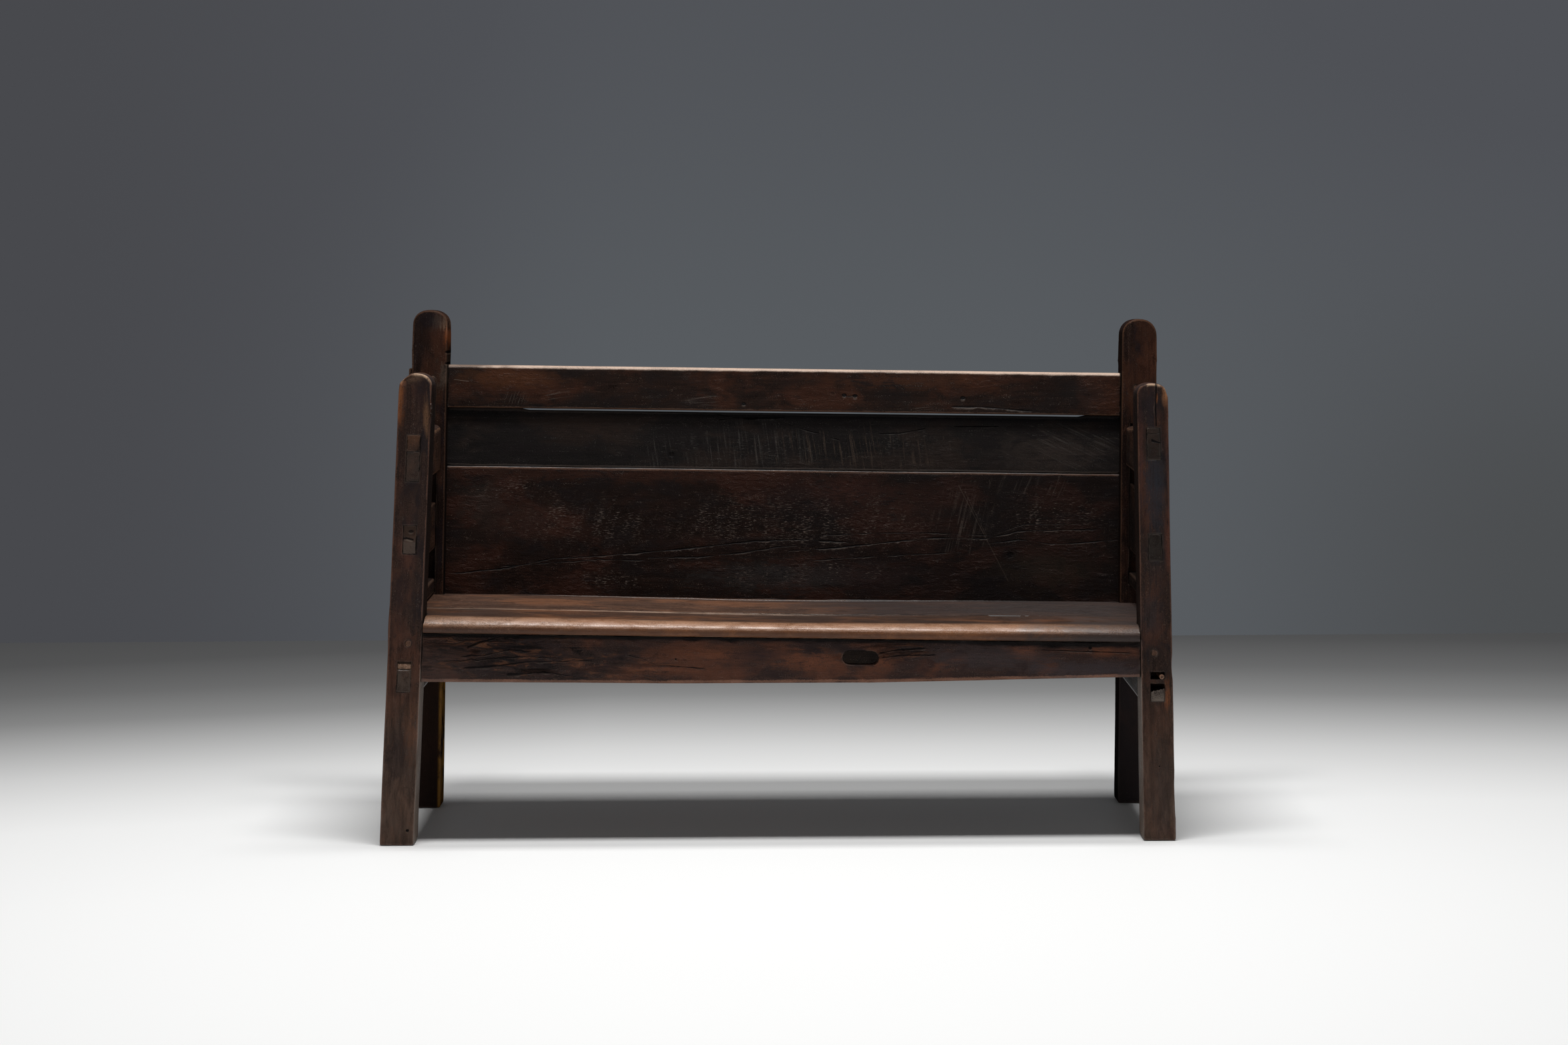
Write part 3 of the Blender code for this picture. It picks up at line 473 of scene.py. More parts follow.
def layFloor():
    first, last = floorShades[0][0], floorShades[-1][0]
    mesh = bpy.data.meshes.new("floor")
    mesh.from_pydata([(-12, -14, 0), (12, -14, 0), (12, last, 0), (-12, last, 0)], [],
                     [(0, 1, 2, 3)])
    floor = newObject("floor", mesh)
    floor.location.z = -floorDrop
    material, shader = newMaterial("floorPaint")
    tree = material.node_tree
    x, y, _ = axesOf(tree, "Object")
    drawn = (-0.5 - x).atLeast(0.0) * 0.35 + (x - 1.0).atLeast(0.0) * 0.15  # painted shade at the rear corners
    share = (y + drawn - first) / (last - first)
    stops = [((at - first) / (last - first), (v, v, v * 0.992, 1)) for at, v in floorShades]
    grey = share.node("ShaderNodeValToRGB", dict(stops=stops), Fac=share)
    tree.links.new(grey.socket, shader.inputs["Base Color"])
    shader.inputs["Roughness"].default_value = 0.5
    mesh.materials.append(material)


lightStudio()
layFloor()
bpy.context.scene.view_settings.view_transform = "Standard"
print("studio lit")

# how the solids are cut up: lengths in metres, angles in degrees
making = dict(merge=0.00002, flat=0.7, sharp=25, piece=0.006, touching=0.0015, finer=3, smooth=52)


def squareCopy(nodeName):
    # a merged copy of the CAD solid, moved back to the square bench
    work = bmesh.new()
    work.from_mesh(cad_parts[nodeName].data)
    bmesh.ops.remove_doubles(work, verts=work.verts, dist=making["merge"])
    spots = np.array([v.co for v in work.verts])
    for vert, a, b, c in zip(work.verts, *unsettle(spots[:, 0], spots[:, 1], spots[:, 2])):
        vert.co = (a, b, c)
    bmesh.ops.dissolve_limit(work, angle_limit=math.radians(making["flat"]), verts=work.verts,
                             edges=work.edges)
    return work


squareSolids = {name: squareCopy(name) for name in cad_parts}
solidTrees = {name: BVHTree.FromBMesh(work) for name, work in squareSolids.items()}
solidBoxes = {}
for name, work in squareSolids.items():
    spots = np.array([v.co for v in work.verts])
    solidBoxes[name] = (spots.min(axis=0), spots.max(axis=0))


def sliced(work, cell):
    # cuts a solid into cells no longer than this, so that it subdivides evenly
    for axis in range(3):
        levels = [v.co[axis] for v in work.verts]
        low, high = min(levels), max(levels)
        count = max(1, math.ceil((high - low) / cell))
        normal = [0, 0, 0]
        normal[axis] = 1
        for k in range(1, count):
            spot = [0, 0, 0]
            spot[axis] = low + (high - low) * k / count
            bmesh.ops.bisect_plane(work, geom=work.verts[:] + work.edges[:] + work.faces[:],
                                   dist=1e-6, plane_co=spot, plane_no=normal)
    bmesh.ops.connect_verts_concave(work, faces=work.faces)


def arrisGuides(nodeName, work, crisp):
    # the sharp edges as two wire meshes: the free ones, which wear, and those at a joint or in
    # the crisp range of a and c, where a mortise or the slot keeps its edges
    spots = np.array([v.co for v in work.verts])
    low, high = spots.min(axis=0) - 0.002, spots.max(axis=0) + 0.002
    others = [solidTrees[name] for name, (least, most) in solidBoxes.items()
              if name != nodeName and (least < high).all() and (most > low).all()]
    lines = dict(arris=[], joint=[])
    for edge in work.edges:
        if len(edge.link_faces) != 2 or edge.calc_face_angle(0.0) < math.radians(
                making["sharp"]):
            continue
        first, last = edge.verts[0].co, edge.verts[1].co
        count = max(1, math.ceil((last - first).length / making["piece"]))
        for k in range(count):
            ends = first.lerp(last, k / count), first.lerp(last, (k + 1) / count)
            middle = (ends[0] + ends[1]) / 2
            near = crisp and all(least < v < most for v, (least, most) in zip(
                (abs(middle.x), middle.z), crisp))
            near = near or any(tree.find_nearest(middle, making["touching"])[0] is not None
                               for tree in others)
            lines["joint" if near else "arris"].append(ends)
    guides = {}
    for kind, pairs in lines.items():
        pairs = pairs or [(Vector((0, 0, 50)), Vector((1, 0, 50)))]  # none: one far away
        mesh = bpy.data.meshes.new(kind)
        mesh.from_pydata([point for pair in pairs for point in pair],
                         [(2 * k, 2 * k + 1) for k in range(len(pairs))], [])
        guides[kind] = newObject(kind, mesh)
    return guides


# Geometry Nodes: hand wear on any squared timber. It stores how near each point lies to a free
# arris and to a joint, softens what is free, rubs the arrises and gives the faces slight waves.
def buildWearTree():
    tree = bpy.data.node_groups.new("handWear", "GeometryNodeTree")
    tree.is_modifier = True
    face = tree.interface
    face.new_socket("Geometry", in_out="OUTPUT", socket_type="NodeSocketGeometry")
    for kind, labels in (("Geometry", ("Geometry",)), ("Material", ("Material",)),
                         ("Object", ("Free Arrises", "Joint Arrises")), ("Int", ("Soften",)),
                         ("Float", ("Reach", "Rub", "Wave", "Chatter", "Seed")),
                         ("Vector", ("Grain",))):
        for label in labels:
            face.new_socket(label, in_out="INPUT", socket_type="NodeSocket" + kind)
    given, done = tree.nodes.new("NodeGroupInput"), tree.nodes.new("NodeGroupOutput")
    entry = {socket.name: Wire(tree, socket) for socket in given.outputs if socket.name}
    start = entry["Geometry"]

    position = start.node("GeometryNodeInputPosition")
    normal = start.node("GeometryNodeInputNormal")

    def distanceTo(guide):
        lines = start.node("GeometryNodeObjectInfo", out="Geometry", at0=guide)
        return start.node("GeometryNodeProximity", dict(target_element="EDGES"), out="Distance",
                          at0=lines, Sample_Position=position).atMost(0.06)

    def store(shape, name, value):
        return start.node("GeometryNodeStoreNamedAttribute", dict(data_type="FLOAT",
                          domain="POINT"), Geometry=shape, Name=name, Value=value)

    def recall(name):
        return start.node("GeometryNodeInputNamedAttribute", dict(data_type="FLOAT"), Name=name)

    shape = store(start, "arris", distanceTo(entry["Free Arrises"]))
    shape = store(shape, "joint", distanceTo(entry["Joint Arrises"]))
    free = recall("joint").step(0.0015, 0.0060)
    soft = start.node("GeometryNodeBlurAttribute", dict(data_type="FLOAT_VECTOR"),
                      Value=position, Iterations=entry["Soften"], Weight=free)
    shape = start.node("GeometryNodeSetPosition", Geometry=shape, Position=soft)
    grained = start.node("ShaderNodeVectorMath", dict(operation="MULTIPLY"), at0=position,
                         at1=entry["Grain"])

    def noise(scale, detail, shift):
        spot = start.node("ShaderNodeVectorMath", dict(operation="ADD"), at0=grained,
                          at1=entry["Seed"] + shift)
        return start.node("ShaderNodeTexNoise", Vector=spot, Scale=scale, Detail=detail) - 0.5

    near = recall("arris").node("ShaderNodeMapRange", dict(interpolation_type="SMOOTHSTEP"),
                                Value=recall("arris"), From_Min=entry["Reach"], From_Max=0.0)
    ragged = (noise(14.0, 3.0, 9.0) * 2.4 + 0.6).atLeast(0.0)
    push = (noise(6.0, 2.0, 0.0) * (entry["Wave"] * 2.5)
            + noise(38.0, 3.0, 4.0) * (entry["Chatter"] * 2.5)) * (free * 0.8 + 0.2)
    push = push - near * ragged * entry["Rub"]
    offset = start.node("ShaderNodeVectorMath", dict(operation="SCALE"), at0=normal, Scale=push)
    shape = start.node("GeometryNodeSetPosition", Geometry=shape, Offset=offset)
    shape = start.node("GeometryNodeSetShadeSmooth", Geometry=shape)
    shape = start.node("GeometryNodeRealizeInstances", Geometry=shape)
    shape = start.node("GeometryNodeSetMaterial", Geometry=shape, Material=entry["Material"])
    tree.links.new(shape.socket, done.inputs[0])
    return tree


wearTree = buildWearTree()


def setInputs(modifier, tree, values):
    for item in tree.interface.items_tree:
        if item.item_type == "SOCKET" and item.in_out == "INPUT" and item.name in values:
            modifier[item.identifier] = values[item.name]


def evaluated(obj):
    bpy.context.view_layer.update()
    graph = bpy.context.evaluated_depsgraph_get()
    return bpy.data.meshes.new_from_object(obj.evaluated_get(graph), depsgraph=graph)


def readRows(source, field, count):
    values = np.empty(count * 3, np.float32)
    source.foreach_get(field, values)
    return values.reshape(-1, 3).astype(float)


# Sculpting helpers, on the square bench: points and outward normals are rows of a, b, c
def ramp(values, start, length):
    # 0 up to the start, 1 from the length past it; a length below 0 runs the other way
    return np.clip((values - start) / length, 0, 1)


def hollows(*spots):
    # each spot is a centre, its reach on the three axes, and its depth
    def sculpt(points, normals):
        for centre, reach, depth in spots:
            gap = (((points - np.array(centre)) / np.array(reach)) ** 2).sum(axis=1)
            points = points - normals * (depth * np.clip(1 - gap, 0, 1) ** 1.5)[:, None]
        return points
    return sculpt


def makeTimber(pieceName, nodeName, look, marks=None, sculpt=None):
    material = woodFinish(pieceName, look, marks)
    guides = arrisGuides(nodeName, squareSolids[nodeName], look["crisp"])
    work = squareSolids[nodeName].copy()
    sliced(work, look["cell"])
    mesh = bpy.data.meshes.new(pieceName)
    work.to_mesh(mesh)
    work.free()
    obj = newObject(pieceName, mesh)
    finer = obj.modifiers.new("finer", "SUBSURF")
    finer.subdivision_type = "SIMPLE"
    finer.levels = finer.render_levels = making["finer"]
    worn = obj.modifiers.new("worn", "NODES")
    worn.node_group = wearTree
    setInputs(worn, wearTree, {
        "Free Arrises": guides["arris"], "Joint Arrises": guides["joint"], "Material": material,
        "Soften": look["soften"], "Reach": look["reach"], "Rub": look["rubDepth"],
        "Wave": look["wave"], "Chatter": look["chatter"], "Seed": float(look["seed"]),
        "Grain": dict(a=(0.2, 1, 1), b=(1, 0.2, 1), c=(1, 1, 0.2))[look["grain"]]})
    finished = evaluated(obj)
    points = readRows(finished.vertices, "co", len(finished.vertices))
    if sculpt:
        normals = readRows(finished.vertex_normals, "vector", len(finished.vertices))
        points = sculpt(points, normals)
    placed = np.stack(settle(points[:, 0], points[:, 1], points[:, 2]), axis=1)
    placed[:, 2] = np.maximum(placed[:, 2], 0.0)
    finished.vertices.foreach_set("co", placed.astype(np.float32).ravel())
    finished.update()
    finished.set_sharp_from_angle(angle=math.radians(making["smooth"]))
    obj.modifiers.clear()
    obj.data = finished
    bpy.data.meshes.remove(mesh)
    for guide in guides.values():
        bpy.data.objects.remove(guide)
    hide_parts(nodeName)
    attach(obj, "root")
    print("made", pieceName, len(finished.polygons), "faces")


# What each look starts from. Colours are screen values, which level and cast shade; cell is the
# size of the cells, crisp the range of a and c with kept edges, and the lengths are metres.
common = dict(level=1.0, cast=(1.0, 0.86, 0.78), pale=(128, 116, 106), sooty=(24, 21, 22),
              rough=0.5, shine=0.08, wax=0.4, waxRough=0.30, relief=1.0, torn=0.02, slant=0.0,
              sway=0.05, streaks=1.0, warmth=0.7, soot=0.8, fleckGlint=0.35, rub=0.5, gap=0.0020,
              cell=0.029, crisp=None, soften=3, reach=0.012, rubDepth=0.0010, wave=0.0008,
              chatter=0.0003)

# Posts
frontPostLook = dict(
    common, row="front", grain="c", seed=11, cast=(1.0, 0.88, 0.83), dark=(38, 29, 26),
    mid=(62, 49, 43), warm=(84, 56, 44), worn=(120, 84, 64), pale=(122, 106, 94),
    sooty=(30, 27, 30), torn=0.0, warmth=0.6, fleckGlint=0.18, rub=0.45, relief=0.8, wave=0.0011,
    rubDepth=0.0016, reach=0.016, crisp=((0.746, 0.803), (0.02, 0.895)))
rearPostLook = dict(
    frontPostLook, row="rear", seed=31, level=0.66, cast=(1.0, 0.92, 0.88), dark=(30, 23, 21),
    mid=(50, 39, 35), warm=(70, 46, 35), worn=(100, 72, 54), shine=0.0, wax=0.15, cell=0.031,
    crisp=((0.746, 0.811), (0.02, 1.03)))
frontPostLevel = dict(Left=0.80, Right=0.62)


def innerFace(t):
    # the faces between the posts
    return abs(t.a).step(0.7425, 0.7405)


def frontPostMarks(side):
    def marks(t):
        # the legs are painted paler towards the floor, for the light the floor casts up on them,
        # and the crown's rim carries painted highlights
        t.cover(t.c.step(0.42, 0.05) * (t.soot.step(-0.2, 0.2) * 0.6 + 0.4), (92, 74, 63), 0.62)
        t.cover(t.c.step(0.915, 0.94) * t.arris.step(0.007, 0.001) * t.soot.step(-0.08, 0.06),
                (196, 166, 138), 0.6)
        inner = innerFace(t)
        # painted shade on the faces between the posts, painted lighter low down where the floor's
        # light reaches them
        t.cover(inner, (22, 17, 15), 0.8)
        t.cover(inner * t.c.step(0.36, 0.33), (140, 124, 112), 0.5)
        gnarls(t, -0.77 if side == "Left" else 0.77, 0.16, 0.08, 0.24, 0.28)
        if side == "Left":
            each(stain, t, (-0.806, 0.9, 0.008, 0.05, (140, 84, 46), 0.5),
                 (-0.78, 0.935, 0.022, 0.01, (110, 86, 68), 0.4),
                 (-0.75, 0.855, 0.006, 0.045, (124, 90, 64), 0.5),
                 (-0.76, 0.905, 0.02, 0.03, (40, 26, 26), 0.5),
                 (-0.775, 0.6, 0.018, 0.05, (84, 52, 44), 0.4),
                 (-0.79, 0.5, 0.016, 0.04, (40, 28, 28), 0.5),
                 (-0.78, 0.17, 0.024, 0.05, (34, 28, 30), 0.6),
                 (-0.752, 0.22, 0.012, 0.06, (110, 72, 50), 0.35, 1.5))
            hole(t, -0.7537, 0.0168, 0.0028)
        else:
            each(stain, t, (0.801, 0.918, 0.007, 0.02, (164, 112, 76), 0.6),
                 (0.803, 0.8, 0.005, 0.12, (84, 50, 40), 0.4),
                 (0.748, 0.8, 0.005, 0.12, (70, 42, 38), 0.4),
                 (0.775, 0.74, 0.024, 0.09, (34, 37, 43), 0.95),
                 (0.765, 0.47, 0.02, 0.05, (40, 38, 40), 0.6),
                 (0.8, 0.62, 0.006, 0.07, (92, 54, 42), 0.6),
                 (0.775, 0.1, 0.03, 0.1, (52, 44, 42), 0.5),
                 (0.77, 0.9, 0.022, 0.04, (32, 27, 30), 0.8),
                 (0.775, 0.58, 0.02, 0.06, (36, 33, 34), 0.5),
                 (0.794, 0.31, 0.005, 0.035, (128, 76, 46), 0.6),
                 (0.782, 0.912, 0.0025, 0.01, (150, 88, 46), 0.6, 0.5))
            splitAlong(t, ((0.853, 0.7799), (0.89, 0.7792), (0.92, 0.7808), (0.945, 0.7814)),
                       0.0026, 0.0012, 0.2, upright=True)
            hole(t, 0.7749, 0.1672, 0.0016)
    return marks


frontPostShapes = dict(
    Left=hollows(((-0.797, 0.01, 0.93), (0.014, 0.05, 0.016), 0.0045),
                 ((-0.786, 0.004, 0.936), (0.009, 0.02, 0.01), 0.003),
                 ((-0.74, 0.006, 0.875), (0.01, 0.03, 0.045), 0.0026),
                 ((-0.811, 0.004, 0.43), (0.01, 0.03, 0.05), -0.0016),
                 ((-0.74, 0.004, 0.16), (0.008, 0.03, 0.05), 0.0016),
                 ((-0.776, 0.0, 0.17), (0.02, 0.01, 0.06), 0.0014)),
    Right=hollows(((0.806, 0.006, 0.925), (0.01, 0.03, 0.012), 0.0022),
                  ((0.8065, 0.006, 0.37), (0.008, 0.03, 0.03), 0.002),
                  ((0.8065, 0.006, 0.1), (0.007, 0.03, 0.06), 0.0018)))


def rearPostMarks(side):
    def marks(t):
        # painted shade on the legs under the seat
        t.cover(t.c.step(0.42, 0.30), dict(Left=(34, 25, 21), Right=(42, 38, 39))[side], 0.7)
        # painted shade on the faces between the posts
        t.cover(innerFace(t), (22, 17, 15), 0.8)
        if side == "Left":
            each(stain, t, (-0.752, 1.03, 0.03, 0.03, (60, 38, 30), 0.5),
                 (-0.747, 1.035, 0.01, 0.012, (140, 118, 98), 0.35, 2.2),
                 (-0.742, 1.015, 0.006, 0.022, (130, 72, 40), 0.5, 1.2),
                 (-0.745, 0.93, 0.012, 0.03, (116, 104, 92), 0.2, 2.0),
                 (-0.765, 1.045, 0.018, 0.02, (52, 50, 48), 0.5))
            each(hole, t, (-0.7386, 0.9794, 0.003, 2.0), (-0.7382, 0.9548, 0.0026, 2.2))
            t.cover(t.a.step(-0.748, -0.742) * t.c.step(0.36, 0.30) * t.soot.step(-0.12, 0.1),
                    (150, 106, 42), 0.55)
        else:
            stain(t, 0.8, 0.98, 0.03, 0.05, (80, 48, 34), 0.4)
    return marks


for side in ("Left", "Right"):
    end = side.lower()
    shift = 0 if side == "Left" else 5  # no two posts have the same figure
    own = dict(frontPostLook, seed=frontPostLook["seed"] + shift, level=frontPostLevel[side])
    makeTimber("frontPost" + side, "front_post_" + end, own, frontPostMarks(side),
               frontPostShapes[side])
    own = dict(rearPostLook, seed=rearPostLook["seed"] + shift)
    makeTimber("rearPost" + side, "rear_post_" + end, own, rearPostMarks(side))

# Side rails and arms
armLook = dict(common, row="side", grain="b", seed=51, level=1.2, cast=(1.0, 0.88, 0.82),
               dark=(34, 26, 23), mid=(56, 43, 37), warm=(72, 52, 40), worn=(108, 84, 66),
               soot=0.5, soften=4)
sideLook = dict(armLook, seed=61, level=1.0, mid=(48, 38, 34), worn=(84, 66, 54), rough=0.6)
rightShade = dict(armRail=0.58, other=0.4)  # the right side stands in the shade


def shapeSeatRailRight(points, normals):
    # the lower right tenon's end is broken off on a slant
    a, b, c = points.T
    end = np.clip(1 - b / 0.05, 0, 1) * (b < 0.06)
    c -= end * ramp(c, 0.300, 0.024) * (0.0075 * ramp(a, 0.788, -0.028) - 0.0035
                                        + 0.0012 * np.sin(a * 900))
    return points


def shapeArmRight(points, normals):
    # this arm drops towards the back
    a, b, c = points.T
    c -= ramp(c, 0.80, 0.06) * (0.004 + 0.016 * ramp(b, 0.070, 0.30)) * ramp(b, 0.070, 0.02)
    return points


def tenonEnd(t):
    return t.b.step(0.010, 0.003)


def tenonMarks(colour, amount=0.6):
    # the tenon's end grain, greyer than the post round it
    def marks(t):
        t.cover(tenonEnd(t) * (t.soot * 2.4 + t.grit * 1.5 + 0.6).step(0, 1), colour, amount)
    return marks


def midTenonMarks(t):
    # a crumbled block over a paler one
    tenonMarks((62, 52, 46))(t)
    t.cover(tenonEnd(t) * (t.c + t.soot * 0.01).step(0.6060, 0.6020), (78, 68, 62), 0.5)
    t.cover(tenonEnd(t) * (t.c + t.soot * 0.02).step(0.6120, 0.6180), (44, 30, 22), 0.6)
    hole(t, -0.772, 0.625, 0.003, 1.8, 0.8)
    splitAlong(t, ((-0.797, 0.609), (-0.78, 0.6115), (-0.765, 0.608)), 0.003, 0.001, 0.4)


def armTenonMarks(t):
    # the right tenon has split across, and its lower corner is gone
    tenonMarks((46, 40, 36))(t)
    each(splitAlong, t, (((0.769, 0.827), (0.774, 0.8255), (0.785, 0.8225), (0.796, 0.822)),
                         0.0062, 0.0012, 0.2, 0.98),
         (((0.778, 0.7965), (0.783, 0.7955), (0.796, 0.795)), 0.0052, 0.001, 0.2, 0.98),
         (((0.76, 0.842), (0.775, 0.84), (0.79, 0.843)), 0.0012, 0.001, 0.2, 0.7))


sideMarks = dict(armRailRight=armTenonMarks, midSideRailLeft=midTenonMarks,
                 seatSideRailLeft=tenonMarks((70, 60, 53), 0.75),
                 seatSideRailRight=tenonMarks((104, 94, 86), 0.75))
sideShapes = dict(seatSideRailRight=shapeSeatRailRight, armRailRight=shapeArmRight)
for side in ("Left", "Right"):
    shift = 0 if side == "Left" else 3
    for title, node, slot, look in (
            ("armRail", "arm_rail_", "arm_rail", armLook),
            ("midSideRail", "mid_side_rail_", "side_rail", sideLook),
            ("lowSideRail", "low_side_rail_", "side_rail", sideLook),
            ("seatSideRail", "seat_side_rail_", "side_rail", sideLook)):
        own = dict(look, seed=look["seed"] + len(title) + shift)
        if side == "Right":
            own["level"] *= rightShade.get(title, rightShade["other"])
        makeTimber(title + side, node + side.lower(), own,
                   sideMarks.get(title + side, tenonMarks((50, 45, 41), 0.5)),
                   sideShapes.get(title + side))

# Back
topRailLook = dict(
    common, row="rear", grain="a", seed=71, level=0.59, cast=(1.0, 0.86, 0.77), dark=(30, 22, 19),
    mid=(52, 37, 30), warm=(74, 44, 29), worn=(140, 108, 88), rough=0.40, shine=0.12, relief=0.6,
    warmth=0.6, soot=0.7, fleckGlint=0.25, cell=0.033, reach=0.010, wave=0.0006)


def topRailMarks(t):
    each(hole, t, (0.1324, 0.8959, 0.0034, 1.3), (0.1558, 0.8948, 0.0044, 1.3),
         (0.3931, 0.8934, 0.004, 1.3), (-0.0884, 0.8743, 0.0032, 1.3))
    each(splitAlong, t, (((0.132, 0.8955), (0.142, 0.893), (0.156, 0.8945)), 0.0012, 0.0006),
         (((0.365, 0.874), (0.44, 0.874), (0.55, 0.866)), 0.003, 0.001, 0.35, 0.7))
    stain(t, -0.54, 0.8645, 0.02, 0.006, (9, 8, 8), 0.85, 0.4)
    scratch(t, (-0.7259, 0.9199), (-0.6921, 0.916), 0.0012, "pale", 0.6)
    each(scrapes, t, (-0.585, 0.882, 0.03, 0.016, -18, 420, (120, 112, 104), 0.7, 3.0),
         (-0.5, 0.889, 0.045, 0.012, -80, 420, (120, 112, 104), 0.6, 7.0),
         (-0.185, 0.88, 0.05, 0.018, -86, 380, (124, 116, 108), 0.6, 9.0),
         (0.3, 0.872, 0.04, 0.01, -84, 380, (120, 112, 104), 0.6, 13.0))
    each(stain, t, (0.66, 0.9, 0.05, 0.05, (26, 24, 24), 0.6),
         (-0.6, 0.925, 0.1, 0.02, (84, 52, 32), 0.5),
         (0.28, 0.93, 0.16, 0.016, (84, 50, 32), 0.4, 1.5))
    # the top is painted a lighter brown and its front edge pale, as painted light and highlight
    # from the lamps above
    t.cover((t.c + t.soot * 0.004).step(0.9455, 0.9492), (84, 64, 52), 0.6)
    edge = (t.c + t.soot * 0.006).step(0.9440, 0.9494) * (t.b + t.soot * 0.01).step(0.484, 0.474)
    t.cover(edge * ((t.a + t.soot * 0.5).step(-0.72, -0.52) * 0.75 + 0.25)
            * (t.patch * 1.6 + t.grit * 1.6 + 0.95).atMost(1.0), (186, 162, 145), 0.9)


middleLook = dict(
    common, row="rear", grain="a", seed=81, level=0.84, cast=(1.0, 0.94, 0.90), dark=(21, 20, 20),
    mid=(35, 32, 31), warm=(48, 38, 33), worn=(74, 62, 54), pale=(88, 84, 80), relief=0.6,
    warmth=0.45, soot=0.6, fleckGlint=0.3, cell=0.036, wave=0.0005)


def middleMarks(t):
    each(splitAlong, t, (((-0.1558, 0.8526), (-0.1117, 0.8444), (-0.0677, 0.8435),
                          (0.0057, 0.845)), 0.0028, 0.0015),
         (((-0.145, 0.838), (-0.1117, 0.841), (-0.06, 0.84)), 0.0014, 0.003),
         (((0.0059, 0.8299), (0.0648, 0.8146), (0.1266, 0.7964)), 0.0016, 0.004),
         (((0.2086, 0.812), (0.2555, 0.8141), (0.3141, 0.825)), 0.0018, 0.001),
         (((0.3728, 0.8301), (0.4315, 0.8309), (0.4755, 0.8314)), 0.0022, 0.002))
    each(scrapes, t, (-0.26, 0.768, 0.06, 0.05, 10, 190, "pale", 0.4, 3.0),
         (-0.09, 0.775, 0.16, 0.07, 8, 170, "pale", 0.42, 7.0),
         (0.16, 0.775, 0.24, 0.06, 9, 190, (84, 70, 60), 0.5, 11.0),
         (0.62, 0.79, 0.14, 0.06, 65, 220, (96, 92, 88), 0.4, 15.0))
    ripples(t, ((-0.22, 0.79, 0.06, 0.03), (-0.02, 0.775, 0.1, 0.04), (0.3, 0.79, 0.12, 0.04)),
            0.4)
    knot(t, -0.2456, 0.7612, 0.014)
    each(stain, t, (0.6, 0.775, 0.12, 0.04, (62, 52, 47), 0.5),
         (-0.45, 0.81, 0.1, 0.03, (46, 34, 28), 0.6))
    # painted shadow under the top rail, along the slit
    t.cover(t.c.step(0.834, 0.850) * (t.a.step(-0.55, -0.1) * 0.4 + 0.6), (8, 7, 8), 0.85)


def shapeMiddle(points, normals):
    # the slit under the top rail closes towards both ends
    a, b, c = points.T
    c += ramp(c, 0.845, 0.008) * 0.0042 * (ramp(a, -0.562, -0.02) + ramp(a, 0.648, 0.02))
    return points


lowerLook = dict(
    common, row="rear", grain="a", seed=91, level=0.76, cast=(1.0, 0.81, 0.72), dark=(22, 16, 14),
    mid=(38, 28, 24), warm=(58, 36, 28), worn=(120, 96, 80), pale=(104, 92, 84), rough=0.45,
    relief=0.8, slant=0.09, sway=0.09, streaks=1.4, warmth=0.6, fleckGlint=0.4, rub=0.7, cell=0.036,
    reach=0.006, wave=0.0005)


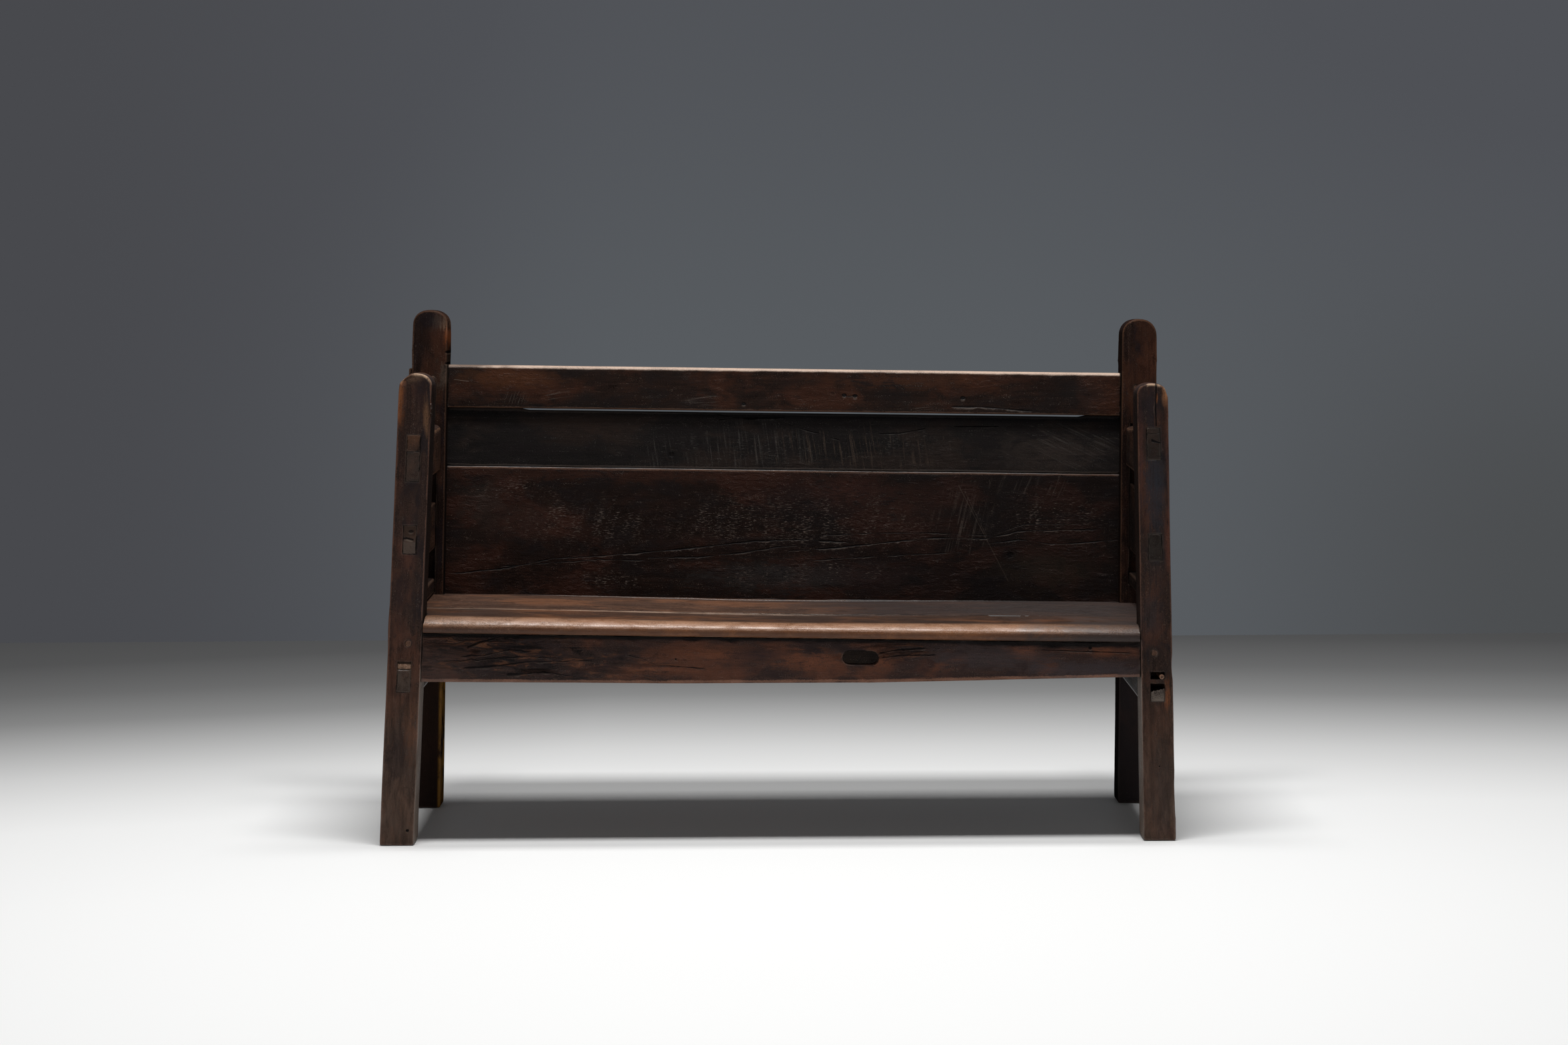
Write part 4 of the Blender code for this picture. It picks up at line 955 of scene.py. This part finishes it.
def lowerMarks(t):
    # one long shake runs up the board from its left end, with shorter ones beside it
    each(splitAlong, t, (((-0.7281, 0.4943), (-0.6053, 0.509), (-0.5031, 0.5307),
                          (-0.4007, 0.5378)), 0.0026, 0.0035),
         (((-0.42, 0.536), (-0.2544, 0.5513), (-0.1666, 0.5611), (-0.0642, 0.5741),
           (0.0384, 0.579), (0.15, 0.574)), 0.0024, 0.003, 0.6),
         (((-0.62, 0.512), (-0.5176, 0.5203), (-0.4006, 0.53), (-0.3, 0.529)), 0.0018, 0.003),
         (((-0.3, 0.535), (-0.1807, 0.538), (-0.093, 0.548), (-0.02, 0.56), (0.0384, 0.567)),
          0.002, 0.003),
         (((0.0094, 0.5531), (0.0972, 0.5601), (0.185, 0.5699), (0.3314, 0.5863),
           (0.4487, 0.5863), (0.5218, 0.6033), (0.6245, 0.6075), (0.7051, 0.6085)), 0.0024,
          0.003, 0.6),
         (((0.08, 0.588), (0.2, 0.595), (0.33, 0.597), (0.46, 0.593), (0.53, 0.618),
           (0.66, 0.621)), 0.0016, 0.002),
         (((0.4487, 0.574), (0.52, 0.585), (0.59, 0.576), (0.6247, 0.5769), (0.7405, 0.5871)),
          0.0022, 0.002),
         (((0.05, 0.533), (0.22, 0.545), (0.4, 0.556)), 0.0016, 0.003))
    knot(t, 0.5004, 0.552, 0.02)
    stain(t, 0.5004, 0.552, 0.012, 0.009, (8, 7, 7), 0.7, 0.6)
    knot(t, -0.41, 0.546, 0.016)
    each(scratch, t, ((0.385, 0.705), (0.5, 0.49), 0.0018, (84, 72, 64), 0.6),
         ((0.4, 0.69), (0.45, 0.59), 0.0012, (84, 72, 64), 0.5))
    each(scrapes, t, (0.4, 0.63, 0.08, 0.09, -12, 190, "pale", 0.45, 3.0),
         (0.55, 0.7, 0.12, 0.035, -22, 150, "pale", 0.45, 11.0))
    ripples(t, ((-0.42, 0.61, 0.18, 0.06), (-0.38, 0.487, 0.1, 0.022), (-0.1, 0.62, 0.2, 0.06),
                (0.1, 0.62, 0.24, 0.07), (0.05, 0.505, 0.24, 0.035), (0.6, 0.64, 0.14, 0.05),
                (-0.6, 0.68, 0.1, 0.03)), 0.7, -0.25)
    each(stain, t, (-0.66, 0.655, 0.05, 0.05, (42, 41, 38), 0.45, 1.4),
         (-0.35, 0.715, 0.33, 0.014, (62, 36, 26), 0.5, 1.3),
         (0.13, 0.68, 0.1, 0.04, (64, 36, 28), 0.6), (0.28, 0.65, 0.08, 0.05, (58, 34, 26), 0.5),
         (-0.55, 0.61, 0.1, 0.04, (66, 42, 34), 0.4),
         (0.05, 0.655, 0.11, 0.05, (15, 14, 15), 0.7), (0.33, 0.5, 0.14, 0.04, (14, 13, 14), 0.6),
         (0.02, 0.5, 0.22, 0.03, (50, 50, 50), 0.5), (0.2, 0.5, 0.1, 0.03, (50, 30, 26), 0.5),
         (0.58, 0.52, 0.1, 0.04, (60, 50, 40), 0.4))
    t.cover(t.a.step(-0.25, 0.45), (16, 15, 15), 0.35)  # duller towards the right end


makeTimber("backTopRail", "back_top_rail", topRailLook, topRailMarks)
makeTimber("backMiddleBoard", "back_middle_board", middleLook, middleMarks,
           shapeMiddle)
makeTimber("backLowerBoard", "back_lower_board", lowerLook, lowerMarks)

# Apron
apronLook = dict(
    common, row="front", grain="a", seed=101, level=0.80, cast=(1.0, 0.88, 0.84),
    dark=(40, 31, 29), mid=(64, 50, 45), warm=(98, 62, 44), worn=(128, 88, 62),
    sooty=(34, 29, 31), rough=0.55, relief=1.1, warmth=0.5, soot=0.75, fleckGlint=0.15, soften=4,
    wave=0.0012, crisp=((0.11, 0.22), (0.36, 0.40)))


def apronMarks(t):
    each(splitAlong, t, (((-0.66, 0.3482), (-0.5644, 0.3562), (-0.5235, 0.3635),
                          (-0.4688, 0.3655), (-0.3867, 0.3679)), 0.003, 0.004, 0.2),
         (((-0.5678, 0.3372), (-0.5227, 0.3391), (-0.4887, 0.3436), (-0.4612, 0.3399),
           (-0.4186, 0.3337)), 0.0046, 0.002, 0.2),
         (((-0.6479, 0.3903), (-0.6276, 0.4001), (-0.5869, 0.4114)), 0.004, 0.002, 0.2),
         (((-0.3185, 0.381), (-0.2909, 0.3746), (-0.2563, 0.3601), (-0.1534, 0.3546)), 0.0024,
          0.004, 0.2),
         (((0.199, 0.3889), (0.2301, 0.396), (0.2987, 0.4023)), 0.003, 0.004, 0.3),
         (((0.205, 0.381), (0.25, 0.386), (0.32, 0.388)), 0.002, 0.004, 0.3),
         (((0.5321, 0.4012), (0.6365, 0.399), (0.7243, 0.3969)), 0.0016, 0.002),
         (((-0.6609, 0.3726), (-0.61, 0.376), (-0.5655, 0.3873), (-0.5105, 0.384)), 0.0026,
          0.005, 0.2),
         (((-0.7, 0.361), (-0.62, 0.367), (-0.53, 0.374), (-0.45, 0.372)), 0.002, 0.006, 0.25))
    stain(t, -0.6305, 0.3825, 0.01, 0.004, (12, 10, 10), 0.85, 0.5)
    each(hole, t, (0.6365, 0.4066, 0.0036), (-0.2168, 0.3728, 0.0022))
    each(gnarls, t, (-0.62, 0.378, 0.17, 0.04), (-0.38, 0.356, 0.18, 0.028, 0.6))
    t.cover(t.a.step(-0.58, -0.70) * (t.soot * 2.0 + 0.7).step(0, 1), (54, 43, 40), 0.6)
    gnarls(t, 0.24, 0.392, 0.07, 0.02, 0.6)
    for p, q, wide, tall, amount in (
            (0.06, 0.372, 0.06, 0.018, 0.5), (0.2, 0.375, 0.03, 0.02, 0.4),
            (-0.12, 0.385, 0.1, 0.015, 0.35), (0.5, 0.398, 0.03, 0.012, 0.5),
            (0.66, 0.4, 0.02, 0.01, 0.5), (-0.25, 0.35, 0.08, 0.01, 0.3)):
        stain(t, p, q, wide, tall, (118, 70, 46), amount, 1.4)
    # the nose's shade, thickest where the plank hangs over most
    t.cover((t.c + t.soot * 0.012 + t.a.step(0.30, 0.55) * 0.004).step(0.4070, 0.4145),
            (8, 6, 6), 0.95)
    # the slot's upper and left walls stand in the dark
    wall = t.b.step(0.005, 0.010) * reachOf(t, 0.142, 0.383, 0.055, 0.024).step(1.1, 1.0)
    t.cover(wall * t.c.step(0.378, 0.384).atLeast(t.a.step(0.114, 0.106)), (5, 4, 4), 0.95)
    each(stain, t, (-0.05, 0.385, 0.05, 0.012, (28, 27, 30), 0.7),
         (0.42, 0.385, 0.14, 0.022, (54, 48, 49), 0.7),
         (0.62, 0.36, 0.12, 0.016, (56, 50, 52), 0.7))
    t.cover(t.arris.step(0.005, 0.0) * (t.soot + t.grit * 0.5).step(0.0, 0.16), (132, 92, 72),
            0.35)


makeTimber("frontApron", "front_apron", apronLook, apronMarks, hollows(
    ((-0.631, 0.003, 0.3825), (0.016, 0.02, 0.008), 0.004),
    ((-0.5, 0.003, 0.342), (0.06, 0.02, 0.008), 0.0022),
    ((-0.6, 0.003, 0.362), (0.09, 0.02, 0.016), 0.002),
    ((-0.66, 0.003, 0.392), (0.03, 0.02, 0.012), 0.002),
    ((0.115, 0.003, 0.383), (0.012, 0.02, 0.012), 0.0035),
    ((0.215, 0.003, 0.388), (0.02, 0.02, 0.01), 0.002),
    ((0.26, 0.003, 0.394), (0.06, 0.02, 0.012), 0.0012)))

# Seat
seatFrontLook = dict(
    common, row="front", grain="a", seed=111, level=0.62, cast=(1.0, 0.82, 0.70),
    dark=(56, 43, 37), mid=(100, 78, 66), warm=(128, 88, 58), worn=(150, 112, 84),
    pale=(140, 120, 104), sooty=(44, 35, 32), rough=0.42, shine=0.2, waxRough=0.40, relief=0.7,
    warmth=0.6, soot=0.6, rub=0.35, cell=0.036, wave=0.0010)
seatRearLook = dict(
    seatFrontLook, row="side", seed=121, level=0.92, dark=(44, 34, 30), mid=(98, 77, 65),
    warm=(116, 82, 58), rough=0.45, warmth=0.5, fleckGlint=0.5, cell=0.040)
seatLevel = 0.452


def seatMarks(t):
    worn = (t.soot * 2.4 + t.patch * 1.2 + t.dent * 1.6 + t.grit * 1.2 + 0.48).atLeast(0.05)
    low = t.c.step(0.441, 0.431)
    t.wax = t.wax.atLeast(t.b.step(0.040, 0.010) * worn
                          * (t.a.step(0.72, 0.46) * 0.5 + t.a.step(0.46, -0.1) * 0.2 + 0.4))
    t.wax = t.wax * (1.0 - low * 0.85)
    # a painted highlight on the lip, and a black line, where the two planks meet
    t.cover(t.b.step(0.1725, 0.1760) * (t.ragged * 0.7 + 0.3) * (t.fibre * 3.0 + 0.8).step(0, 1)
            * t.a.step(0.14, 0.02), (176, 148, 128), 0.6)
    # the nose: a golden band where hands and knees have rubbed it, with painted sheen, and a
    # painted highlight along its rounded top; greyer at its two ends
    t.cover(t.b.step(0.030, 0.004) * t.a.step(-0.72, -0.3) * t.a.step(0.75, 0.35),
            (140, 88, 50), 0.4)
    t.cover(t.b.step(0.040, 0.014) * (t.c + t.soot * 0.01).step(0.428, 0.438)
            * (t.soot * 2.0 + t.grit * 2.0 + 0.8).atLeast(0.0), (170, 128, 98), 0.5)
    t.cover((t.a + t.soot * 0.6).step(0.46, 0.72), (56, 49, 47), 0.8)
    t.cover(low * (t.soot * 2.5 + t.patch * 2.0 + 0.8).step(0, 1), (56, 30, 15), 0.7)
    t.cover(low * (t.a + t.soot * 0.4).step(0.40, 0.60), (36, 31, 30), 0.7)
    # duller over the middle of the plank's top and at its left end
    dull = abs(t.a - 0.12).step(0.38, 0.20).atLeast(t.a.step(-0.52, -0.66))
    t.cover(t.b.step(0.03, 0.06) * dull, (44, 34, 29), 0.5)
    t.cover(t.c.step(0.4215, 0.4198) * t.soot.step(-0.05, 0.1) * t.a.step(0.3, 0.1),
            (120, 100, 86), 0.3)


def seatRearMarks(t):
    gnarls(t, 0.60, seatLevel, 0.20, 1.0, 0.35)
    t.cover((t.a + t.soot * 0.5).step(-0.15, 0.25), (44, 38, 37), 0.82)
    t.cover(t.b.step(0.420, 0.455), (30, 24, 22), 0.5)  # painted shade along the back


def hollowSeat(points, normals):
    # worn down where people sit; the nose's left end stands clear of the post
    a, b, c = points.T
    a += 0.0050 * ramp(a, -0.7385, -0.001) * ramp(b, 0.055, -0.02)
    up = np.clip(normals[:, 2], 0, 1) ** 2
    c -= np.exp(-(a / 0.42) ** 2) * up * (0.002 + 0.0045 * ramp(b, -0.01, 0.06))
    return points


makeTimber("seatFrontBoard", "seat_front_board", seatFrontLook, seatMarks,
           hollowSeat)
makeTimber("seatRearBoard", "seat_rear_board", seatRearLook, seatRearMarks,
           hollowSeat)

# The hidden rail, wedges, pegs and key
hiddenLook = dict(common, row="rear", grain="a", seed=131, dark=(33, 31, 31), mid=(50, 46, 45),
                  warm=(54, 47, 43), worn=(90, 70, 56), rough=0.7, cell=0.050)
wedgeLook = dict(common, row="front", grain="b", seed=135, level=0.72, dark=(56, 43, 37),
                 mid=(78, 61, 52), warm=(96, 70, 52), worn=(120, 92, 70), rough=0.6, cell=0.012,
                 rubDepth=0.0004, wave=0.0003)
seatWedgeLook = dict(wedgeLook, seed=138, level=1.0, cast=(1.0, 0.94, 0.90), dark=(104, 84, 72),
                     mid=(176, 150, 132), warm=(150, 112, 84), warmth=0.4, soot=0.3)
pegLook = dict(common, row="front", grain="b", seed=141, dark=(60, 46, 40), mid=(96, 76, 64),
               warm=(116, 88, 68), worn=(140, 112, 90), rough=0.6, gap=0.0012, cell=0.012,
               reach=0.003, rubDepth=0.0003, wave=0.0003, chatter=0.0002)


def seatWedgeMarks(t):
    # its top is broken and leaves a dark notch
    t.cut((t.c + t.shake * 0.010).step(0.3545, 0.3570) * 0.9)


makeTimber("rearSeatRail", "rear_seat_rail", hiddenLook)
makeTimber("armWedge", "arm_wedge_left", wedgeLook)
makeTimber("seatWedge", "seat_wedge_left", seatWedgeLook, seatWedgeMarks)
makeTimber("tenonKey", "tenon_key_right", pegLook)
for side in ("Left", "Right"):
    for title, node in (("apronPeg", "apron_peg_"), ("backRailPeg", "back_rail_peg_")):
        own = dict(pegLook, seed=pegLook["seed"] + len(title) + (0 if side == "Left" else 3))
        makeTimber(title + side, node + side.lower(), own)
print("timbers made")
